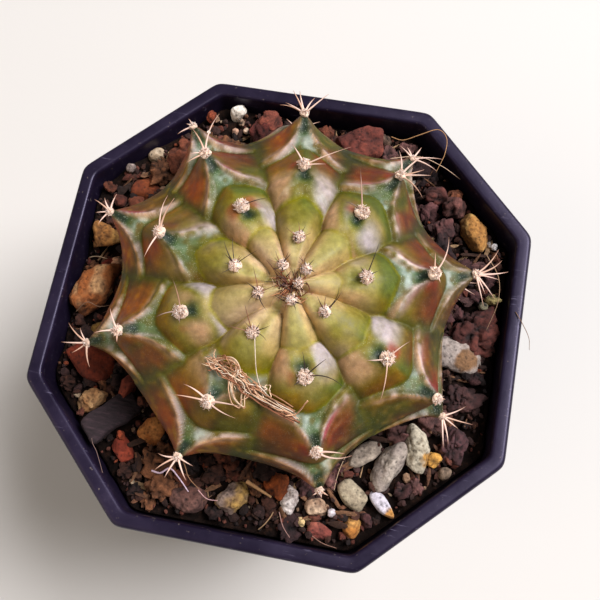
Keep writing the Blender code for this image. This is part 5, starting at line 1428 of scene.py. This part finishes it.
draw = np.random.default_rng(17)
strand_paths, strand_radii, strand_tints = [], [], []
share = np.linspace(0, 1, STRAND_STEPS)[:, None]
for knots, copies, spread in zip(FLOWER_STRANDS_MM, STRANDS_EACH, STRAND_SPREADS_MM):
    line = smooth_path(knots, STRAND_STEPS)
    extent = np.linalg.norm(np.diff(line, axis=0), axis=1).sum()
    along = np.concatenate([share * extent, 0 * share, 0 * share], 1)
    for copy in range(copies):
        wander = []
        for axis in range(3):
            own = (0, copy * 5.3, axis * 9.1)
            waves = noise(0.55 * along + own, 1.0, 8 + copy)
            wander.append(waves + 0.16 * noise(1.8 * along + own, 1.0, 60 + copy))
        wander = np.stack(wander, -1) * spread * (0.35 + 0.65 * share)
        path = line + wander * (1.0, 1.0, 0.7) + draw.normal(size=3) * spread * (0.30, 0.30, 0.2)
        strand_paths.append(laid_on_skin(path, 0.25))
        strand_radii.append(draw.uniform(0.07, 0.13) * MM * (1 - 0.35 * share[:, 0]))
        tone = linear(PETAL_TONES[draw.choice(5)])
        strand_tints.append(mixed(tone * 0.75, tone, share))

# Frayed loops along the stalk and at its head.
stalk = smooth_path(FLOWER_STRANDS_MM[1], STALK_STEPS)
for number in range(LOOP_COUNT):
    middle = stalk[int(draw.uniform(0.35, 0.97) * (STALK_STEPS - 1))]
    middle = middle + draw.uniform(-1.0, 1.0, 3) * (0.9, 0.9, 0.2)
    turn = np.linspace(0, draw.uniform(3.4, 6.0), STRAND_STEPS) + draw.uniform(0, 6)
    radius = draw.uniform(0.25, 0.80) * (1 + 0.30 * np.sin(turn * 3 + number) + 0.12 * np.sin(turn * 8))
    squash = draw.uniform(0.5, 1.0)
    path = np.column_stack([
        middle[0] + radius * np.cos(turn), middle[1] + squash * radius * np.sin(turn),
        0.5 + draw.uniform(0.1, 1.0) + 0.5 * np.sin(turn + 1)])
    strand_paths.append(laid_on_skin(path, 0.2))
    strand_radii.append(np.full(STRAND_STEPS, draw.uniform(0.05, 0.10)) * MM)
    strand_tints.append(linear(PETAL_TONES[draw.choice(5)]) * np.ones((STRAND_STEPS, 3)))
flower = put_tubes("dried_flower_strands", strand_paths, strand_radii, strand_tints, petal, sides=5)
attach(flower, "root")
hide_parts("dried_flower")

# Loose fibres
# Dry rootlets, a few plant hairs and a strand or two of peat that lie over the mix, with some
# caught on the spines and on the rim.
FINE_COUNT, FINE_REACHES_MM, FINE_LENGTHS_MM = 60, (20, 31), (2.0, 6.5)
FINE_TONES = ("#a5835f", "#6b4c38", "#c7aa88", "#4e3326")

# For each: its colour and radius, then its knots as x, y and height over the rim, all in mm.
FIBRES_MM = (
    (("#b98a5c", 0.09), (12.5, 33.0, -2.2), (14.6, 32.2, -1.2), (17.2, 33.0, 0.0), (20.0, 34.0, 0.8),
     (21.6, 32.6, 0.9), (21.7, 29.9, 0.5), (20.8, 27.0, -0.6)),
    (("#c9a98b", 0.10), (13.0, 29.0, -2.2), (17.6, 29.6, -1.2), (21.5, 28.4, -0.8), (25.0, 27.0, -1.8)),
    (("#7a6058", 0.06), (-22.0, -30.4, -1.8), (-23.4, -27.4, -0.6), (-24.6, -25.6, -0.4),
     (-25.2, -22.4, -1.6)),
    (("#d2b8c8", 0.17), (-14.4, -28.5, -0.4), (-12.9, -28.6, 0.2), (-11.5, -27.7, 0.8), (-10.0, -28.8, 0.2),
     (-8.4, -30.5, -1.2)),
    (("#a87c58", 0.10), (-10.6, -25.4, -0.4), (-9.6, -26.9, -0.5), (-8.7, -28.5, -0.9), (-6.9, -29.9, -1.7)),
    (("#c79a98", 0.09), (-6.9, -30.0, -0.6), (-5.3, -31.0, -0.2), (-3.8, -31.0, -1.4)),
    (("#a07a70", 0.09), (5.6, -30.9, -1.9), (6.6, -32.8, -1.0), (7.9, -34.2, -0.9)),
    (("#b3875a", 0.36), (0.0, -27.4, -1.2), (1.8, -28.1, -0.8), (4.1, -29.0, -1.0)),
    (("#8a6656", 0.09), (11.1, -33.4, -1.6), (12.8, -34.1, -1.0), (14.9, -34.4, -1.1)),
    (("#7d5f48", 0.08), (-33.0, -6.0, -2.4), (-30.8, -4.6, -0.2), (-28.8, -4.9, -0.6), (-26.8, -3.6, -2.4)),
    (("#9a7a5c", 0.08), (30.8, 14.6, -1.6), (33.0, 10.8, -0.6), (33.4, 6.6, -0.4), (32.4, 2.2, -1.8)),
    (("#7a5c44", 0.07), (36.2, 5.4, 0.1), (37.4, 3.6, 0.4), (38.6, 1.6, 0.3), (39.0, -0.2, -0.2)),
)

fibre_paths, fibre_radii, fibre_tints = [], [], []
for (code, radius), *knots in FIBRES_MM:
    line = smooth_path(knots, STRAND_STEPS)
    fibre_paths.append((line + (0, 0, POT_HEIGHT / MM)) * MM)
    fibre_radii.append(np.full(STRAND_STEPS, radius) * MM * (1 - 0.5 * share[:, 0]))
    fibre_tints.append(linear(code) * np.ones((STRAND_STEPS, 3)))
draw = np.random.default_rng(51)
for _ in range(FINE_COUNT):
    turn = draw.uniform(0, 2 * math.pi)
    reach = draw.uniform(*FINE_REACHES_MM)
    start = np.array([reach * math.cos(turn), reach * math.sin(turn)])
    heading = draw.uniform(0, 2 * math.pi)
    angle = heading + draw.uniform(-1.5, 1.5) * share[:, 0]
    length = draw.uniform(*FINE_LENGTHS_MM)
    steps = np.column_stack([np.cos(angle), np.sin(angle)]) * length / STRAND_STEPS
    flat = start + np.cumsum(steps, 0)
    inside = np.hypot(*flat.T) < outline_radius(np.arctan2(flat[:, 1], flat[:, 0]), edge_width) / MM - 0.5
    if not inside.all():
        continue
    arch = 0.5 + 0.8 * np.sin(share[:, 0] * math.pi) * draw.uniform(0.2, 1.2)
    height = mix_height(*(flat * MM).T) + arch * MM
    fibre_paths.append(np.column_stack([flat * MM, height]))
    fibre_radii.append(np.full(STRAND_STEPS, draw.uniform(0.04, 0.09)) * MM)
    fibre_tints.append(linear(FINE_TONES[draw.choice(4)]) * np.ones((STRAND_STEPS, 3)))
fibres = put_tubes("loose_fibres", fibre_paths, fibre_radii, fibre_tints, petal, sides=5)
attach(fibres, "root")
